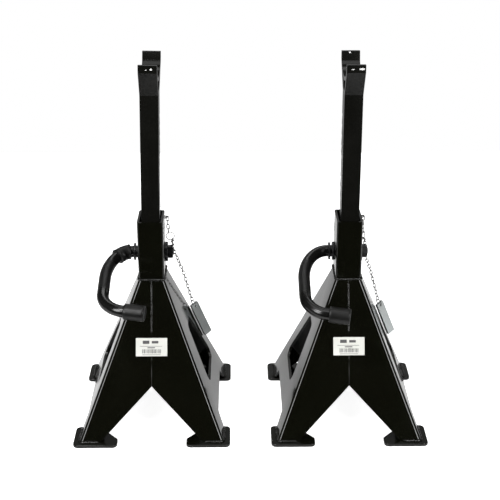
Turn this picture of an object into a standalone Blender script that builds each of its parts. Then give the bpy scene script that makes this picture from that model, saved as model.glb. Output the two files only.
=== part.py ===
"""A pair of ratchet axle jack stands, extended to full height.

Each stand is a welded sheet base with a collar on top. A toothed column slides in the
collar and is held by a pawl on the handle's shaft. A flat lock bar hangs on a chain.
Metres, +Z up, +Y to the rear. The origin is on the floor, midway between the stands.
"""

from math import atan2, cos, pi, radians, sin, sqrt

import bmesh
import bpy
from mathutils import Matrix, Vector

# Whole stand
STAND_SPACING = 0.3154  # between the stands' centre lines
FOOT_SPAN = Vector((0.250, 0.286))  # outside of the feet, X and Y
GAP = 0.0003  # between pieces that touch

# Base: a tapered tube of bent sheet, in two halves
PLATE = 0.005  # foot plate thickness
SHEET = 0.004
BASE_BOTTOM = Vector((0.1149, 0.1338))  # half widths at the top of the foot plates
BASE_TOP = Vector((0.0206, 0.0300))  # half widths at the collar
BASE_BOTTOM_Z = PLATE + GAP
BASE_TOP_Z = 0.2416
BEND_RADIUS = 0.005
FRONT_CUT_TOP, FRONT_CUT_HALF = 0.0857, 0.0817
SIDE_CUT_TOP, SIDE_CUT_TOP_HALF, SIDE_CUT_FOOT_HALF = 0.027, 0.072, 0.0853
HOLE = [(-0.043, 0.0615), (0.076, 0.0615), (0.028, 0.1525), (-0.013, 0.1525)]  # Y and Z of its corners
HOLE_RADIUS = 0.012
FOOT_LENGTH, FOOT_DEPTH, FOOT_TIP, FOOT_CHAMFER = 0.070, 0.060, 0.021, 0.006
WELD_RADIUS = 0.002

# Collar
COLLAR_Z = (BASE_TOP_Z + GAP, 0.339)
COLLAR_WALL = 0.0035
COLLAR_RADIUS = 0.004
SLOT_Y, SLOT_Z = (0.0170, 0.0240), (0.3050, 0.3210)

# Column and saddle, in the YZ plane
COLUMN_HALF_WIDTH = 0.01435
COLUMN_Y = (-0.0251, 0.0085)
COLUMN_BOTTOM = 0.2245
SADDLE_NECK, SADDLE_CHIN, SADDLE_TOP = 0.5422, 0.5827, 0.5945
SADDLE_REACH, SADDLE_LIP, SADDLE_DIP = 0.0516, 0.0055, 0.018
TOOTH_PITCH, TOOTH_COUNT, TOOTH_DEPTH, TOOTH_HEIGHT = 0.017, 13, 0.005, 0.013
SADDLE_SHOULDER, SADDLE_INSET = 0.009, 0.003  # the cradle's ends below the lips' tops and inside the lips
POCKET_DEPTH = 0.0035
STOP_PIN_RADIUS, STOP_PIN_HALF, STOP_PIN_Y, STOP_PIN_Z = 0.003, 0.0172, -0.008, 0.232
LEAN_HEIGHT = 0.290  # where a column that leans in its collar still stands on the centre line
COLUMN_LEAN = {"left": 0.018, "right": 0.0}  # radians towards +X, within the play in the collar

# Pawl and pivot. The pivot's axis runs along X
PIVOT = Vector((0, 0.0175, 0.272))
SHAFT_RADIUS, BORE_RADIUS = 0.006, 0.0064
PAWL_BOSS, PAWL_HALF_WIDTH, PAWL_REACH = 0.0083, 0.009, 0.0303
FIRST_TOOTH = PIVOT.z + 0.0295
PAWL_PIN_RADIUS = 0.0014

# Handle, drawn in a plane that holds the pivot's axis
HANDLE_DROP = {"left": radians(16.9), "right": radians(20.1)}  # below level, at rest
ROD_RADIUS = 0.0095
ROD_BEND = 0.040  # radius of the bend at the free end
FIRST_BEND = Vector((0.040, 0.068))  # half axes of the bend at the pivot, across and forward
ROD_START, ROD_OUT = -0.0303, -0.072
ROD_END, HANDLE_REACH = -0.0073, 0.1528
END_TURN = radians(80)
SLEEVE_RADIUS, SLEEVE_BORE, SLEEVE_LENGTH, SLEEVE_CAP = 0.0125, 0.0098, 0.0295, 0.003
BEND_SLEEVE = (radians(5), radians(38))  # from where to where it covers the first bend
SHAFT_END = 0.0345

# Hub and nut: low and high ends along the pivot's axis, then the radius or the width across flats
HUB_FLANGE, HUB_SPACER = (-0.0300, -0.0270, 0.0140), (-0.0267, -0.0242, 0.0095)
HUB_WASHER, PIVOT_WASHER = (-0.0239, -0.0209, 0.0150), (0.0209, 0.0249, 0.0160)
PIVOT_NUT = (0.0252, 0.0330, 0.019)

# Chain and lock bar
LINK_WIRE, LINK_PITCH, LINK_HALF_WIDTH, LINK_OVERLAP = 0.00075, 0.0072, 0.00225, 0.0004
ANCHOR = Vector((0.0252, 0.016, 0.3320))
STAPLE_HALF, STAPLE_WIRE, STAPLE_CORNER = 0.0042, 0.0010, 0.0015
RING_RADIUS, RING_WIRE = 0.0066, 0.0008
RING_CENTRE = {"left": Vector((0.0290, 0.0185, 0.2985)), "right": Vector((0.0262, 0.0185, 0.2985))}
RING_TURN = {"left": 0.0, "right": radians(60)}  # about the vertical, from facing the front
UPPER_HOLD, LOWER_HOLD = radians(115), radians(-60)  # where the chains hold the ring, from its outer side up
CHAIN_BENDS = {
    "left": [
        (0.0318, 0.0300, 0.2830),
        (0.0328, 0.0352, 0.2690),
        (0.0385, 0.0440, 0.2490),
        (0.0475, 0.0545, 0.2190),
    ],
    "right": [
        (0.0310, 0.0300, 0.2830),
        (0.0312, 0.0352, 0.2690),
        (0.0355, 0.0440, 0.2490),
        (0.0455, 0.0545, 0.2190),
    ],
}  # where the lower chain passes, behind the pivot's nut
BAR_LENGTH, BAR_WIDTH, BAR_THICKNESS = 0.063, 0.015, 0.005
BAR_TOP = Vector((0.0630, 0.0675, 0.1570))
BAR_TWIST = radians(38)
BAR_DRIFT = 0.11664  # how far the hanging bar leans to the rear, for each unit down
BAR_HOLE, BAR_HOLE_DEPTH, BAR_RING_RADIUS = 0.0024, 0.0045, 0.0055

# Label on the front
LABEL_SIZE, LABEL_Z = Vector((0.050, 0.0003, 0.029)), 0.1435

COLOURS = {
    "black_paint": ((0.010, 0.010, 0.009, 1), 0.28, 0.0),
    "weld_paint": ((0.012, 0.012, 0.011, 1), 0.35, 0.0),
    "cast_paint": ((0.014, 0.014, 0.013, 1), 0.42, 0.0),
    "rubber": ((0.016, 0.016, 0.016, 1), 0.60, 0.0),
    "black_steel": ((0.020, 0.020, 0.022, 1), 0.40, 0.8),
    "zinc": ((0.42, 0.47, 0.50, 1), 0.35, 1.0),
    "bright_steel": ((0.60, 0.60, 0.60, 1), 0.28, 1.0),
    "label": ((0.85, 0.85, 0.85, 1), 0.50, 0.0),
}


def clear_scene():
    for obj in list(bpy.data.objects):
        bpy.data.objects.remove(obj, do_unlink=True)


def new_collection(name, hidden=False):
    collection = bpy.data.collections.new(name)
    bpy.context.scene.collection.children.link(collection)
    collection.hide_render = hidden
    return collection


def make_materials():
    made = {}
    for name, (colour, roughness, metallic) in COLOURS.items():
        material = bpy.data.materials.new(name)
        material.use_nodes = True
        shader = material.node_tree.nodes["Principled BSDF"]
        shader.inputs["Base Color"].default_value = colour
        shader.inputs["Roughness"].default_value = roughness
        shader.inputs["Metallic"].default_value = metallic
        material.diffuse_color = colour
        made[name] = material
    return made


clear_scene()
PARTS = new_collection("axle_jack_stands")
CUTTERS = new_collection("cutters", hidden=True)
MATERIALS = make_materials()


# ---- general helpers ----


def object_of(mesh, name, collection=CUTTERS):
    """A new object. It starts as a cutter; keep() makes it a part."""
    obj = bpy.data.objects.new(name, mesh)
    collection.objects.link(obj)
    if collection is CUTTERS:
        obj.hide_render = True
        obj.display_type = "WIRE"
    return obj


def from_bmesh(bm, name):
    bmesh.ops.recalc_face_normals(bm, faces=bm.faces)
    mesh = bpy.data.meshes.new(name)
    bm.to_mesh(mesh)
    bm.free()
    return object_of(mesh, name)


def keep(obj, material, parent, smooth=False):
    """Moves a finished shape into the parts and hangs it on its frame."""
    CUTTERS.objects.unlink(obj)
    PARTS.objects.link(obj)
    obj.hide_render = False
    obj.display_type = "TEXTURED"
    if smooth:
        obj.data.shade_smooth()
        obj.data.set_sharp_from_angle(angle=radians(35))
    obj.data.materials.clear()
    obj.data.materials.append(MATERIALS[material])
    obj.parent = parent
    obj.matrix_parent_inverse = parent.matrix_world.inverted()
    return obj


def frame_at(name, place, parent=None):
    """An empty that carries the pieces of one moving body, on the joint's axis."""
    empty = bpy.data.objects.new(name, None)
    PARTS.objects.link(empty)
    empty.empty_display_size = 0.02
    empty.matrix_world = Matrix.Translation(place)
    if parent:
        empty.parent = parent
        empty.matrix_parent_inverse = parent.matrix_world.inverted()
    bpy.context.view_layer.update()
    return empty


def baked(obj):
    """A mesh object of what the modifiers or the curve make, in place of the old object."""
    bpy.context.view_layer.update()
    graph = bpy.context.evaluated_depsgraph_get()
    mesh = bpy.data.meshes.new_from_object(obj.evaluated_get(graph))
    mesh.transform(obj.matrix_world)
    bm = bmesh.new()
    bm.from_mesh(mesh)
    bmesh.ops.remove_doubles(bm, verts=bm.verts, dist=1e-7)
    name = obj.name
    bpy.data.objects.remove(obj, do_unlink=True)
    bpy.data.meshes.remove(mesh)
    return from_bmesh(bm, name)


def boolean(obj, other, operation="DIFFERENCE"):
    modifier = obj.modifiers.new(operation.lower(), "BOOLEAN")
    modifier.operation = operation
    modifier.solver = "EXACT"
    modifier.object = other


def cut(obj, *cutters):
    for cutter in cutters:
        boolean(obj, cutter)
        obj = baked(obj)
    return obj


def bevel(obj, width, segments=1, angle=30):
    modifier = obj.modifiers.new("bevel", "BEVEL")
    modifier.width = width
    modifier.segments = segments
    modifier.limit_method = "ANGLE"
    modifier.angle_limit = radians(angle)
    return baked(obj)


AXES = {
    # maps a drawing's (u, v, thickness) to space
    "X": Matrix(((0, 0, 1, 0), (1, 0, 0, 0), (0, 1, 0, 0), (0, 0, 0, 1))),
    "Y": Matrix(((1, 0, 0, 0), (0, 0, -1, 0), (0, 1, 0, 0), (0, 0, 0, 1))),
    "Z": Matrix.Identity(4),
}


def extrude(name, outlines, axis, low, high):
    """A flat outline, with any holes in it, drawn across an axis and thickened from low to high."""
    curve = bpy.data.curves.new(name, "CURVE")
    curve.dimensions = "2D"
    curve.fill_mode = "BOTH"
    curve.extrude = (high - low) / 2
    for outline in outlines:
        spline = curve.splines.new("POLY")
        spline.points.add(len(outline) - 1)
        for point, (u, v) in zip(spline.points, outline):
            point.co = (u, v, 0, 1)
        spline.use_cyclic_u = True
    middle = (low + high) / 2 * (-1 if axis == "Y" else 1)
    obj = object_of(curve, name)
    obj.matrix_world = AXES[axis] @ Matrix.Translation((0, 0, middle))
    return baked(obj)


def circle(centre, radius, steps=24, start=0.0, turn=2 * pi):
    """Points round a circle, or along part of it with both ends."""
    count = steps if turn == 2 * pi else steps + 1
    return [
        (
            centre[0] + radius * cos(start + turn * i / steps),
            centre[1] + radius * sin(start + turn * i / steps),
        )
        for i in range(count)
    ]


def rounded(corners, radius, steps=4):
    """A polygon whose corners are arcs."""
    points = []
    count = len(corners)
    for i, corner in enumerate(corners):
        here = Vector(corner)
        before = (Vector(corners[i - 1]) - here).normalized()
        after = (Vector(corners[(i + 1) % count]) - here).normalized()
        half = before.angle(after) / 2
        reach = radius / sin(half)
        centre = here + (before + after).normalized() * reach
        first = here + before * (reach * cos(half)) - centre
        last = here + after * (reach * cos(half)) - centre
        start = atan2(first.y, first.x)
        turn = atan2(first.x * last.y - first.y * last.x, first.dot(last))
        points += circle(centre, radius, steps, start, turn)
    return points


def rectangle(half_u, half_v):
    return [(half_u, -half_v), (half_u, half_v), (-half_u, half_v), (-half_u, -half_v)]


def box(name, low, high):
    low, high = Vector(low), Vector(high)
    bm = bmesh.new()
    bmesh.ops.create_cube(bm, size=1)
    bmesh.ops.scale(bm, vec=high - low, verts=bm.verts)
    bmesh.ops.translate(bm, vec=(low + high) / 2, verts=bm.verts)
    return from_bmesh(bm, name)


def rod(name, start, end, radius, sides=24):
    """A round bar between two points."""
    start, end = Vector(start), Vector(end)
    along = end - start
    place = Matrix.Translation((start + end) / 2) @ along.to_track_quat("Z", "Y").to_matrix().to_4x4()
    bm = bmesh.new()
    bmesh.ops.create_cone(
        bm, cap_ends=True, segments=sides, radius1=radius, radius2=radius, depth=along.length, matrix=place
    )
    return from_bmesh(bm, name)


def tube(name, points, radius, resolution=3, closed=False):
    """A bar of round section along a line of points."""
    curve = bpy.data.curves.new(name, "CURVE")
    curve.dimensions = "3D"
    curve.bevel_depth = radius
    curve.bevel_resolution = resolution
    curve.use_fill_caps = True
    spline = curve.splines.new("POLY")
    spline.points.add(len(points) - 1)
    for point, place in zip(spline.points, points):
        point.co = (*place, 1)
    spline.use_cyclic_u = closed
    return baked(object_of(curve, name))


def disc_with_bore(name, low, high, outer, steps=32):
    """A washer on the pivot's axis."""
    centre = (PIVOT.y, PIVOT.z)
    return extrude(name, [circle(centre, outer, steps), circle(centre, BORE_RADIUS, 24)], "X", low, high)


# ---- base ----


def slope(axis):
    """How much the base's half width grows for each unit down."""
    return (BASE_BOTTOM[axis] - BASE_TOP[axis]) / (BASE_TOP_Z - PLATE)


def half_width(axis, z):
    return BASE_TOP[axis] + slope(axis) * (BASE_TOP_Z - z)


def half_outline(z):
    """One half of the base's outline at a height, from seam to seam, open at the seams."""
    across, deep = half_width(0, z), half_width(1, z)
    seam = GAP / 2
    corners = [
        circle((across - BEND_RADIUS, -deep + BEND_RADIUS), BEND_RADIUS, 4, -pi / 2, pi / 2),
        circle((across - BEND_RADIUS, deep - BEND_RADIUS), BEND_RADIUS, 4, 0, pi / 2),
    ]
    flat = [(seam, -deep), *corners[0], *corners[1], (seam, deep)]
    return [Vector((x, y, z)) for x, y in flat]


def base_half(name, side, cutters):
    """One bent half: an open surface from seam to seam, thickened inwards and trimmed."""
    spare = 0.010
    bm = bmesh.new()
    loops = []
    for z in (BASE_BOTTOM_Z - spare, BASE_TOP_Z + spare):
        points = [bm.verts.new((side * p.x, p.y, p.z)) for p in half_outline(z)]
        loops.append([bm.edges.new(pair) for pair in zip(points, points[1:])])
    bmesh.ops.bridge_loops(bm, edges=loops[0] + loops[1])
    bmesh.ops.recalc_face_normals(bm, faces=bm.faces)
    faces = list(bm.faces)
    if sum(face.normal.x * side for face in faces) < 0:
        bmesh.ops.reverse_faces(bm, faces=faces)
    mesh = bpy.data.meshes.new(name)
    bm.to_mesh(mesh)
    bm.free()
    obj = object_of(mesh, name)
    shell = obj.modifiers.new("sheet", "SOLIDIFY")
    shell.thickness = SHEET
    shell.offset = -1
    shell.use_even_offset = True
    obj = baked(obj)
    boolean(obj, cutters["trim"], "INTERSECT")
    return cut(obj, cutters["front_cut"], cutters["side_cut"], cutters["side_hole"])


def base_cutters():
    far = 0.3
    grow = FRONT_CUT_HALF / (FRONT_CUT_TOP - PLATE)
    below = -0.02
    foot = FRONT_CUT_HALF + grow * (PLATE - below)
    lean = (SIDE_CUT_FOOT_HALF - SIDE_CUT_TOP_HALF) / (SIDE_CUT_TOP - PLATE)
    side_foot = SIDE_CUT_FOOT_HALF + lean * (PLATE - below)
    front = [(-foot, below), (foot, below), (0, FRONT_CUT_TOP)]
    side = [
        (-side_foot, below),
        (side_foot, below),
        (SIDE_CUT_TOP_HALF, SIDE_CUT_TOP),
        (-SIDE_CUT_TOP_HALF, SIDE_CUT_TOP),
    ]
    return {
        "trim": box("trim", (-far, -far, BASE_BOTTOM_Z), (far, far, BASE_TOP_Z)),
        "front_cut": extrude("front_cut", [front], "Y", -far, far),
        "side_cut": extrude("side_cut", [side], "X", -far, far),
        "side_hole": extrude("side_hole", [rounded(HOLE, HOLE_RADIUS, 6)], "X", -far, far),
    }


def foot(name, side_x, side_y):
    """A flat foot plate: a corner of the base's footprint, cut off on a slant inside."""
    outer_x, outer_y = FOOT_SPAN.x / 2, FOOT_SPAN.y / 2
    inner_x, inner_y = outer_x - FOOT_LENGTH, outer_y - FOOT_DEPTH
    chamfer = FOOT_CHAMFER
    quarter = [
        (outer_x - chamfer, outer_y),
        (inner_x + chamfer, outer_y),
        (inner_x, outer_y - chamfer),
        (inner_x, outer_y - FOOT_TIP),
        (inner_x + FOOT_LENGTH / 2 - FOOT_CHAMFER / 2, inner_y),
        (outer_x - chamfer, inner_y),
        (outer_x, inner_y + chamfer),
        (outer_x, outer_y - chamfer),
    ]
    plate = extrude(name, [[(side_x * x, side_y * y) for x, y in quarter]], "Z", 0, PLATE)
    return bevel(plate, 0.0006)


def surface_point(x, z, off):
    """A point off the front panel's outer face, measured square to the panel."""
    tilt = atan2(slope(1), 1)
    return Vector((x, -half_width(1, z) - off * cos(tilt), z + off * sin(tilt)))


def seam_weld(name, side_y, top, bottom):
    """A low bead along the centre seam, on the front (-1) or the rear (1)."""
    off = WELD_RADIUS + GAP
    ends = [surface_point(0, z, off) for z in (top, bottom)]
    return tube(name, [Vector((p.x, -side_y * p.y, p.z)) for p in ends], WELD_RADIUS)


def collar_weld(name):
    off = WELD_RADIUS + GAP
    loop = rounded(rectangle(BASE_TOP.x + off, BASE_TOP.y + off), COLLAR_RADIUS + off, 4)
    height = BASE_TOP_Z + 0.0009
    return tube(name, [(x, y, height) for x, y in loop], WELD_RADIUS, 2, closed=True)


def label(name):
    """A thin sticker on the front panel, over the centre line."""
    tilt = atan2(slope(1), 1)
    place = surface_point(0, LABEL_Z, 0.0004)
    sticker = box(name, -LABEL_SIZE / 2, LABEL_SIZE / 2)
    sticker.matrix_world = Matrix.Translation(place) @ Matrix.Rotation(-tilt, 4, "X")
    return baked(sticker)


def collar(name):
    low, high = COLLAR_Z
    outer = rounded(rectangle(BASE_TOP.x, BASE_TOP.y), COLLAR_RADIUS)
    inner = rounded(
        rectangle(BASE_TOP.x - COLLAR_WALL, BASE_TOP.y - COLLAR_WALL), COLLAR_RADIUS - 0.0025, 2
    )
    walls = extrude(name, [outer, inner], "Z", low, high)
    far = 0.05
    bore = rod("collar_bore", (-far, PIVOT.y, PIVOT.z), (far, PIVOT.y, PIVOT.z), BORE_RADIUS)
    slot_middle = ((SLOT_Y[0] + SLOT_Y[1]) / 2, (SLOT_Z[0] + SLOT_Z[1]) / 2)
    slot = rounded(
        [
            (slot_middle[0] + u, slot_middle[1] + v)
            for u, v in rectangle((SLOT_Y[1] - SLOT_Y[0]) / 2, (SLOT_Z[1] - SLOT_Z[0]) / 2)
        ],
        0.0012,
        2,
    )
    return cut(walls, bore, extrude("collar_slot", [slot], "X", -far, far))


# ---- column ----


def column_outline():
    """Side view of the column: toothed rear edge, then the saddle's cradle with its two lips."""
    front, rear = COLUMN_Y
    points = [(front, COLUMN_BOTTOM), (rear, COLUMN_BOTTOM)]
    for tooth in range(TOOTH_COUNT):
        top = FIRST_TOOTH + tooth * TOOTH_PITCH
        points += [(rear, top - TOOTH_HEIGHT), (rear - TOOTH_DEPTH, top), (rear, top)]
    points += [(rear, SADDLE_NECK), (SADDLE_REACH, SADDLE_CHIN), (SADDLE_REACH, SADDLE_TOP)]
    lip = SADDLE_REACH - SADDLE_LIP
    shoulder, steps = SADDLE_TOP - SADDLE_SHOULDER, 12
    inside = lip - SADDLE_INSET
    points.append((lip, SADDLE_TOP))
    for i in range(steps + 1):
        along = 1 - 2 * i / steps
        points.append((inside * along, shoulder - SADDLE_DIP * sqrt(max(0.0, 1 - along * along * 0.999))))
    points += [(-lip, SADDLE_TOP), (-SADDLE_REACH, SADDLE_TOP), (-SADDLE_REACH, SADDLE_CHIN)]
    points.append((front, SADDLE_NECK))
    return points


def column(name):
    """The ratchet bar and its saddle, cast in one, with two pockets in each side of the saddle."""
    half = COLUMN_HALF_WIDTH
    casting = extrude(name, [column_outline()], "X", -half, half)
    casting = bevel(casting, 0.0007, angle=20)
    front, _ = COLUMN_Y
    pockets = [
        rounded([(front + 0.006, 0.5475), (-0.001, 0.5475), (-0.001, 0.560), (-0.0335, 0.5665)], 0.002, 3),
        rounded([(0.0045, 0.5475), (0.0095, 0.5475), (0.0335, 0.569), (0.0045, 0.5605)], 0.0012, 3),
    ]
    cutters = []
    for side in (-1, 1):
        ends = sorted((side * (half - POCKET_DEPTH), side * (half + POCKET_DEPTH)))
        for number, outline in enumerate(pockets):
            cutters.append(extrude(f"pocket_{number}", [outline], "X", *ends))
    return cut(casting, stop_pin("stop_pin_hole", STOP_PIN_RADIUS + GAP, 24), *cutters)


def stop_pin(name, radius, sides):
    """The cross pin at the column's foot, which keeps it in the collar."""
    ends = [(side * STOP_PIN_HALF, STOP_PIN_Y, STOP_PIN_Z) for side in (-1, 1)]
    return rod(name, *ends, radius, sides)


def turned(obj, point, axis, angle):
    """Turns a finished shape about an axis through a point."""
    centre = Matrix.Translation(point)
    obj.data.transform(centre @ Matrix.Rotation(angle, 4, axis) @ centre.inverted())
    return obj


def leaning(obj, lean):
    """Tips a shape towards +X, about a line through the collar."""
    return turned(obj, (0, 0, LEAN_HEIGHT), "Y", lean)


def dropped(obj, drop):
    """Turns a shape's front down, about the pivot."""
    return turned(obj, PIVOT, "X", drop)


# ---- pawl and handle ----


def pawl(name):
    """A nose that fits a tooth gap and a finger that the lock bar blocks, on a round boss."""
    nose = [(y, sqrt(PAWL_REACH**2 - y * y)) for y in (-0.0085, -0.0103, -0.0120)]
    boss = circle((0, 0), PAWL_BOSS, 14, radians(175), radians(200))
    finger_top = 0.0370
    outline = [*nose, (-0.0120, 0.0252), (-0.0084, 0.0160), *boss]
    outline += [(-0.0025, finger_top), (-0.0078, finger_top), (-0.0078, nose[0][1])]
    placed = [(PIVOT.y + y, PIVOT.z + z) for y, z in outline]
    solid = extrude(name, [placed], "X", -PAWL_HALF_WIDTH, PAWL_HALF_WIDTH)
    far = 0.02
    bore = rod("pawl_bore", (-far, PIVOT.y, PIVOT.z), (far, PIVOT.y, PIVOT.z), BORE_RADIUS)
    return cut(solid, bore, pawl_pin("pawl_pin_hole", PAWL_PIN_RADIUS + GAP, 0.001))


def pawl_pin(name, radius, spare=0.0):
    """The pin through the pawl's boss and the shaft, from below."""
    low, high = PIVOT.z - PAWL_BOSS - spare, PIVOT.z + 0.0075 + spare
    return rod(name, (0, PIVOT.y, low), (0, PIVOT.y, high), radius, 12)


def handle_place(x, forward):
    """A point of the handle while it is level: along the pivot's axis, and forward from it."""
    return Vector((x, PIVOT.y - forward, PIVOT.z))


def first_bend(start=0.0, end=pi / 2, steps=10):
    """Out along the pivot's axis, then forward, on a quarter of an ellipse."""
    middle = ROD_OUT + FIRST_BEND.x
    return [
        handle_place(middle - FIRST_BEND.x * sin(a), FIRST_BEND.y * (1 - cos(a)))
        for a in (start + (end - start) * i / steps for i in range(steps + 1))
    ]


def last_straight():
    """The two ends of the rod's last run, which comes back across the front."""
    middle = ROD_OUT + ROD_BEND
    bend_end = Vector((middle - ROD_BEND * cos(END_TURN), ROD_BEND * sin(END_TURN)))
    along = Vector((sin(END_TURN), cos(END_TURN)))
    run = (ROD_END - bend_end.x) / along.x
    centre = HANDLE_REACH - bend_end.y - run * along.y
    start = handle_place(bend_end.x, centre + bend_end.y)
    return centre, start, handle_place(ROD_END, HANDLE_REACH)


def handle_path():
    centre, _, end = last_straight()
    middle, steps = ROD_OUT + ROD_BEND, 8
    last_bend = [
        handle_place(middle - ROD_BEND * cos(a), centre + ROD_BEND * sin(a))
        for a in (END_TURN * i / steps for i in range(steps + 1))
    ]
    return [handle_place(ROD_START, 0), *first_bend(), *last_bend, end]


def handle(name, drop):
    bent = dropped(tube(name, handle_path(), ROD_RADIUS, 3), drop)
    ends = [(x, PIVOT.y, PIVOT.z) for x in (ROD_START - 0.004, SHAFT_END)]
    shaft = rod("pivot_shaft", *ends, SHAFT_RADIUS)
    boolean(bent, shaft, "UNION")
    return cut(baked(bent), pawl_pin("shaft_pin_hole", PAWL_PIN_RADIUS + GAP, 0.001))


def end_sleeve(name):
    """A thick closed cap over the rod's end."""
    _, start, end = last_straight()
    along = (end - start).normalized()
    outside = rod(name, end - along * SLEEVE_LENGTH, end + along * SLEEVE_CAP, SLEEVE_RADIUS, 28)
    outside = bevel(outside, 0.0012, 2, 60)
    bore = rod("sleeve_bore", end - along * (SLEEVE_LENGTH + 0.01), end + along * GAP, SLEEVE_BORE)
    return cut(outside, bore)


def bend_sleeve(name):
    """A thick sleeve over the rod's first bend."""
    start, end = BEND_SLEEVE
    spare = radians(5)
    outside = tube(name, first_bend(start, end, 8), SLEEVE_RADIUS, 3)
    bore = tube("bend_bore", first_bend(start - spare, end + spare, 10), SLEEVE_BORE + 0.0002, 3)
    return cut(outside, bore)


def nut(name, low, high, across_flats):
    centre = (PIVOT.y, PIVOT.z)
    corner = across_flats / 2 / cos(pi / 6)
    blank = extrude(name, [circle(centre, corner, 6), circle(centre, BORE_RADIUS, 24)], "X", low, high)
    return bevel(blank, 0.0006, 1, 50)


# ---- chain and lock bar ----


def link(name, centre, along, across, half):
    """One oval link: its long axis is along, and its width is across."""
    straight = half - LINK_HALF_WIDTH
    outline = circle((straight, 0), LINK_HALF_WIDTH, 3, -pi / 2, pi)
    outline += circle((-straight, 0), LINK_HALF_WIDTH, 3, pi / 2, pi)
    across = (across - along * across.dot(along)).normalized()
    points = [centre + along * u + across * v for u, v in outline]
    return tube(name, points, LINK_WIRE, 1, closed=True)


def smooth_route(points, steps=12):
    """Points along a smooth curve through the given ones."""
    ends = [points[0] * 2 - points[1], *points, points[-1] * 2 - points[-2]]
    found = []
    for a, b, c, d in zip(ends, ends[1:], ends[2:], ends[3:]):
        for i in range(steps):
            t = i / steps
            square, cube = 2 * a - 5 * b + 4 * c - d, 3 * b - a - 3 * c + d
            found.append((2 * b + (c - a) * t + square * t**2 + cube * t**3) / 2)
    return [*found, points[-1]]


def along_route(route, distance):
    for start, end in zip(route, route[1:]):
        step = (end - start).length
        if distance <= step:
            return start.lerp(end, distance / step)
        distance -= step
    return route[-1] + (route[-1] - route[-2]).normalized() * distance


def chain(name, points, first_across, last_across, even=False):
    """Links along a route, each turned a quarter from the one before, welded into one solid.

    With an odd count the end links lie the way that the two given directions say. With an
    even count the last link lies a quarter turn from that.
    """
    route = smooth_route(points)
    length = sum((b - a).length for a, b in zip(route, route[1:]))
    extra = 2 * LINK_WIRE - LINK_OVERLAP
    odd = 0 if even else 1
    count = 2 * round(((length - extra) / LINK_PITCH - odd) / 2) + odd
    pitch = (length - extra) / count
    half = (pitch + extra) / 2
    links = []
    for number in range(count):
        middle = half + number * pitch
        head, tail = along_route(route, middle - half), along_route(route, middle + half)
        along = (tail - head).normalized()
        across = first_across.lerp(last_across, number / (count - 1))
        if number % 2:
            across = along.cross(across)
        links.append(link(f"{name}_link_{number}", (head + tail) / 2, along, across, half))
    whole = links[0]
    whole.name = name
    for other in links[1:]:
        boolean(whole, other, "UNION")
        whole = baked(whole)
    return whole


def ring(name, centre, axis_u, axis_v, radius, wire, steps=20):
    """A round wire ring in the plane of two directions."""
    points = [centre + axis_u * u + axis_v * v for u, v in circle((0, 0), radius, steps)]
    return tube(name, points, wire, 1, closed=True)


def bar_frame():
    """The lock bar's directions: down its length, across its width and through it."""
    down = Vector((slope(0), BAR_DRIFT, -1)).normalized()
    flat = Vector((cos(BAR_TWIST), sin(BAR_TWIST), 0))
    across = (flat - down * flat.dot(down)).normalized()
    return down, across, down.cross(across)


def bar_ring_top():
    """The middle of the wire at the top of the bar's ring."""
    down, _, _ = bar_frame()
    return BAR_TOP + down * (BAR_HOLE_DEPTH - 2 * BAR_RING_RADIUS)


def lock_bar(name):
    down, across, through = bar_frame()
    half = BAR_WIDTH / 2
    outline = rounded([(0, -half), (BAR_LENGTH, -half), (BAR_LENGTH, half), (0, half)], 0.0012, 2)
    holes = [circle((BAR_HOLE_DEPTH, 0), BAR_HOLE, 14)]
    flat = extrude(name, [outline, *holes], "Z", -BAR_THICKNESS / 2, BAR_THICKNESS / 2)
    flat = bevel(flat, 0.0004, 1, 60)
    turn = Matrix((down, across, through)).transposed().to_4x4()
    flat.matrix_world = Matrix.Translation(BAR_TOP) @ turn
    return baked(flat)


def bar_ring(name):
    down, _, through = bar_frame()
    centre = BAR_TOP + down * (BAR_HOLE_DEPTH - BAR_RING_RADIUS)
    return ring(name, centre, down, through, BAR_RING_RADIUS, RING_WIRE)


def chain_anchor(name):
    """A small wire staple on the collar's side, which the first link hangs on."""
    wall, out, corner = BASE_TOP.x + GAP, ANCHOR.x, STAPLE_CORNER
    left, right = ANCHOR.y - STAPLE_HALF, ANCHOR.y + STAPLE_HALF
    outline = [(wall, left), *circle((out - corner, left + corner), corner, 3, -pi / 2, pi / 2)]
    outline += [*circle((out - corner, right - corner), corner, 3, 0, pi / 2), (wall, right)]
    return tube(name, [(x, y, ANCHOR.z) for x, y in outline], STAPLE_WIRE, 2)


def ring_axes(prefix):
    """The middle ring's two directions: outward and up."""
    return Vector((cos(RING_TURN[prefix]), sin(RING_TURN[prefix]), 0)), Vector((0, 0, 1))


def ring_point(prefix, turn):
    """A point on the middle ring's wire, and the wire's direction there."""
    outward, up = ring_axes(prefix)
    place = RING_CENTRE[prefix] + (outward * cos(turn) + up * sin(turn)) * RING_RADIUS
    return place, outward * sin(turn) - up * cos(turn)


def upper_chain(name, prefix):
    hold = STAPLE_WIRE + LINK_WIRE + GAP
    reach = RING_WIRE + LINK_WIRE + GAP
    top = ANCHOR + Vector((0, 0, hold))
    bottom, wire = ring_point(prefix, UPPER_HOLD)
    bottom += (bottom - ANCHOR).normalized() * reach
    return chain(name, [top, top.lerp(bottom, 0.5), bottom], Vector((1, 0, 0)), wire, even=True)


def lower_chain(name, prefix):
    reach = RING_WIRE + LINK_WIRE + GAP
    bends = [Vector(bend) for bend in CHAIN_BENDS[prefix]]
    (start, wire), end = ring_point(prefix, LOWER_HOLD), bar_ring_top()
    across = (start - bends[0]).cross(wire).normalized()
    start += (start - bends[0]).normalized() * reach
    end += (end - bends[-1]).normalized() * reach
    route = [start, *bends, bends[-1].lerp(end, 0.55), end]
    return chain(name, route, across, bar_frame()[1])


# ---- assembly ----


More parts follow.
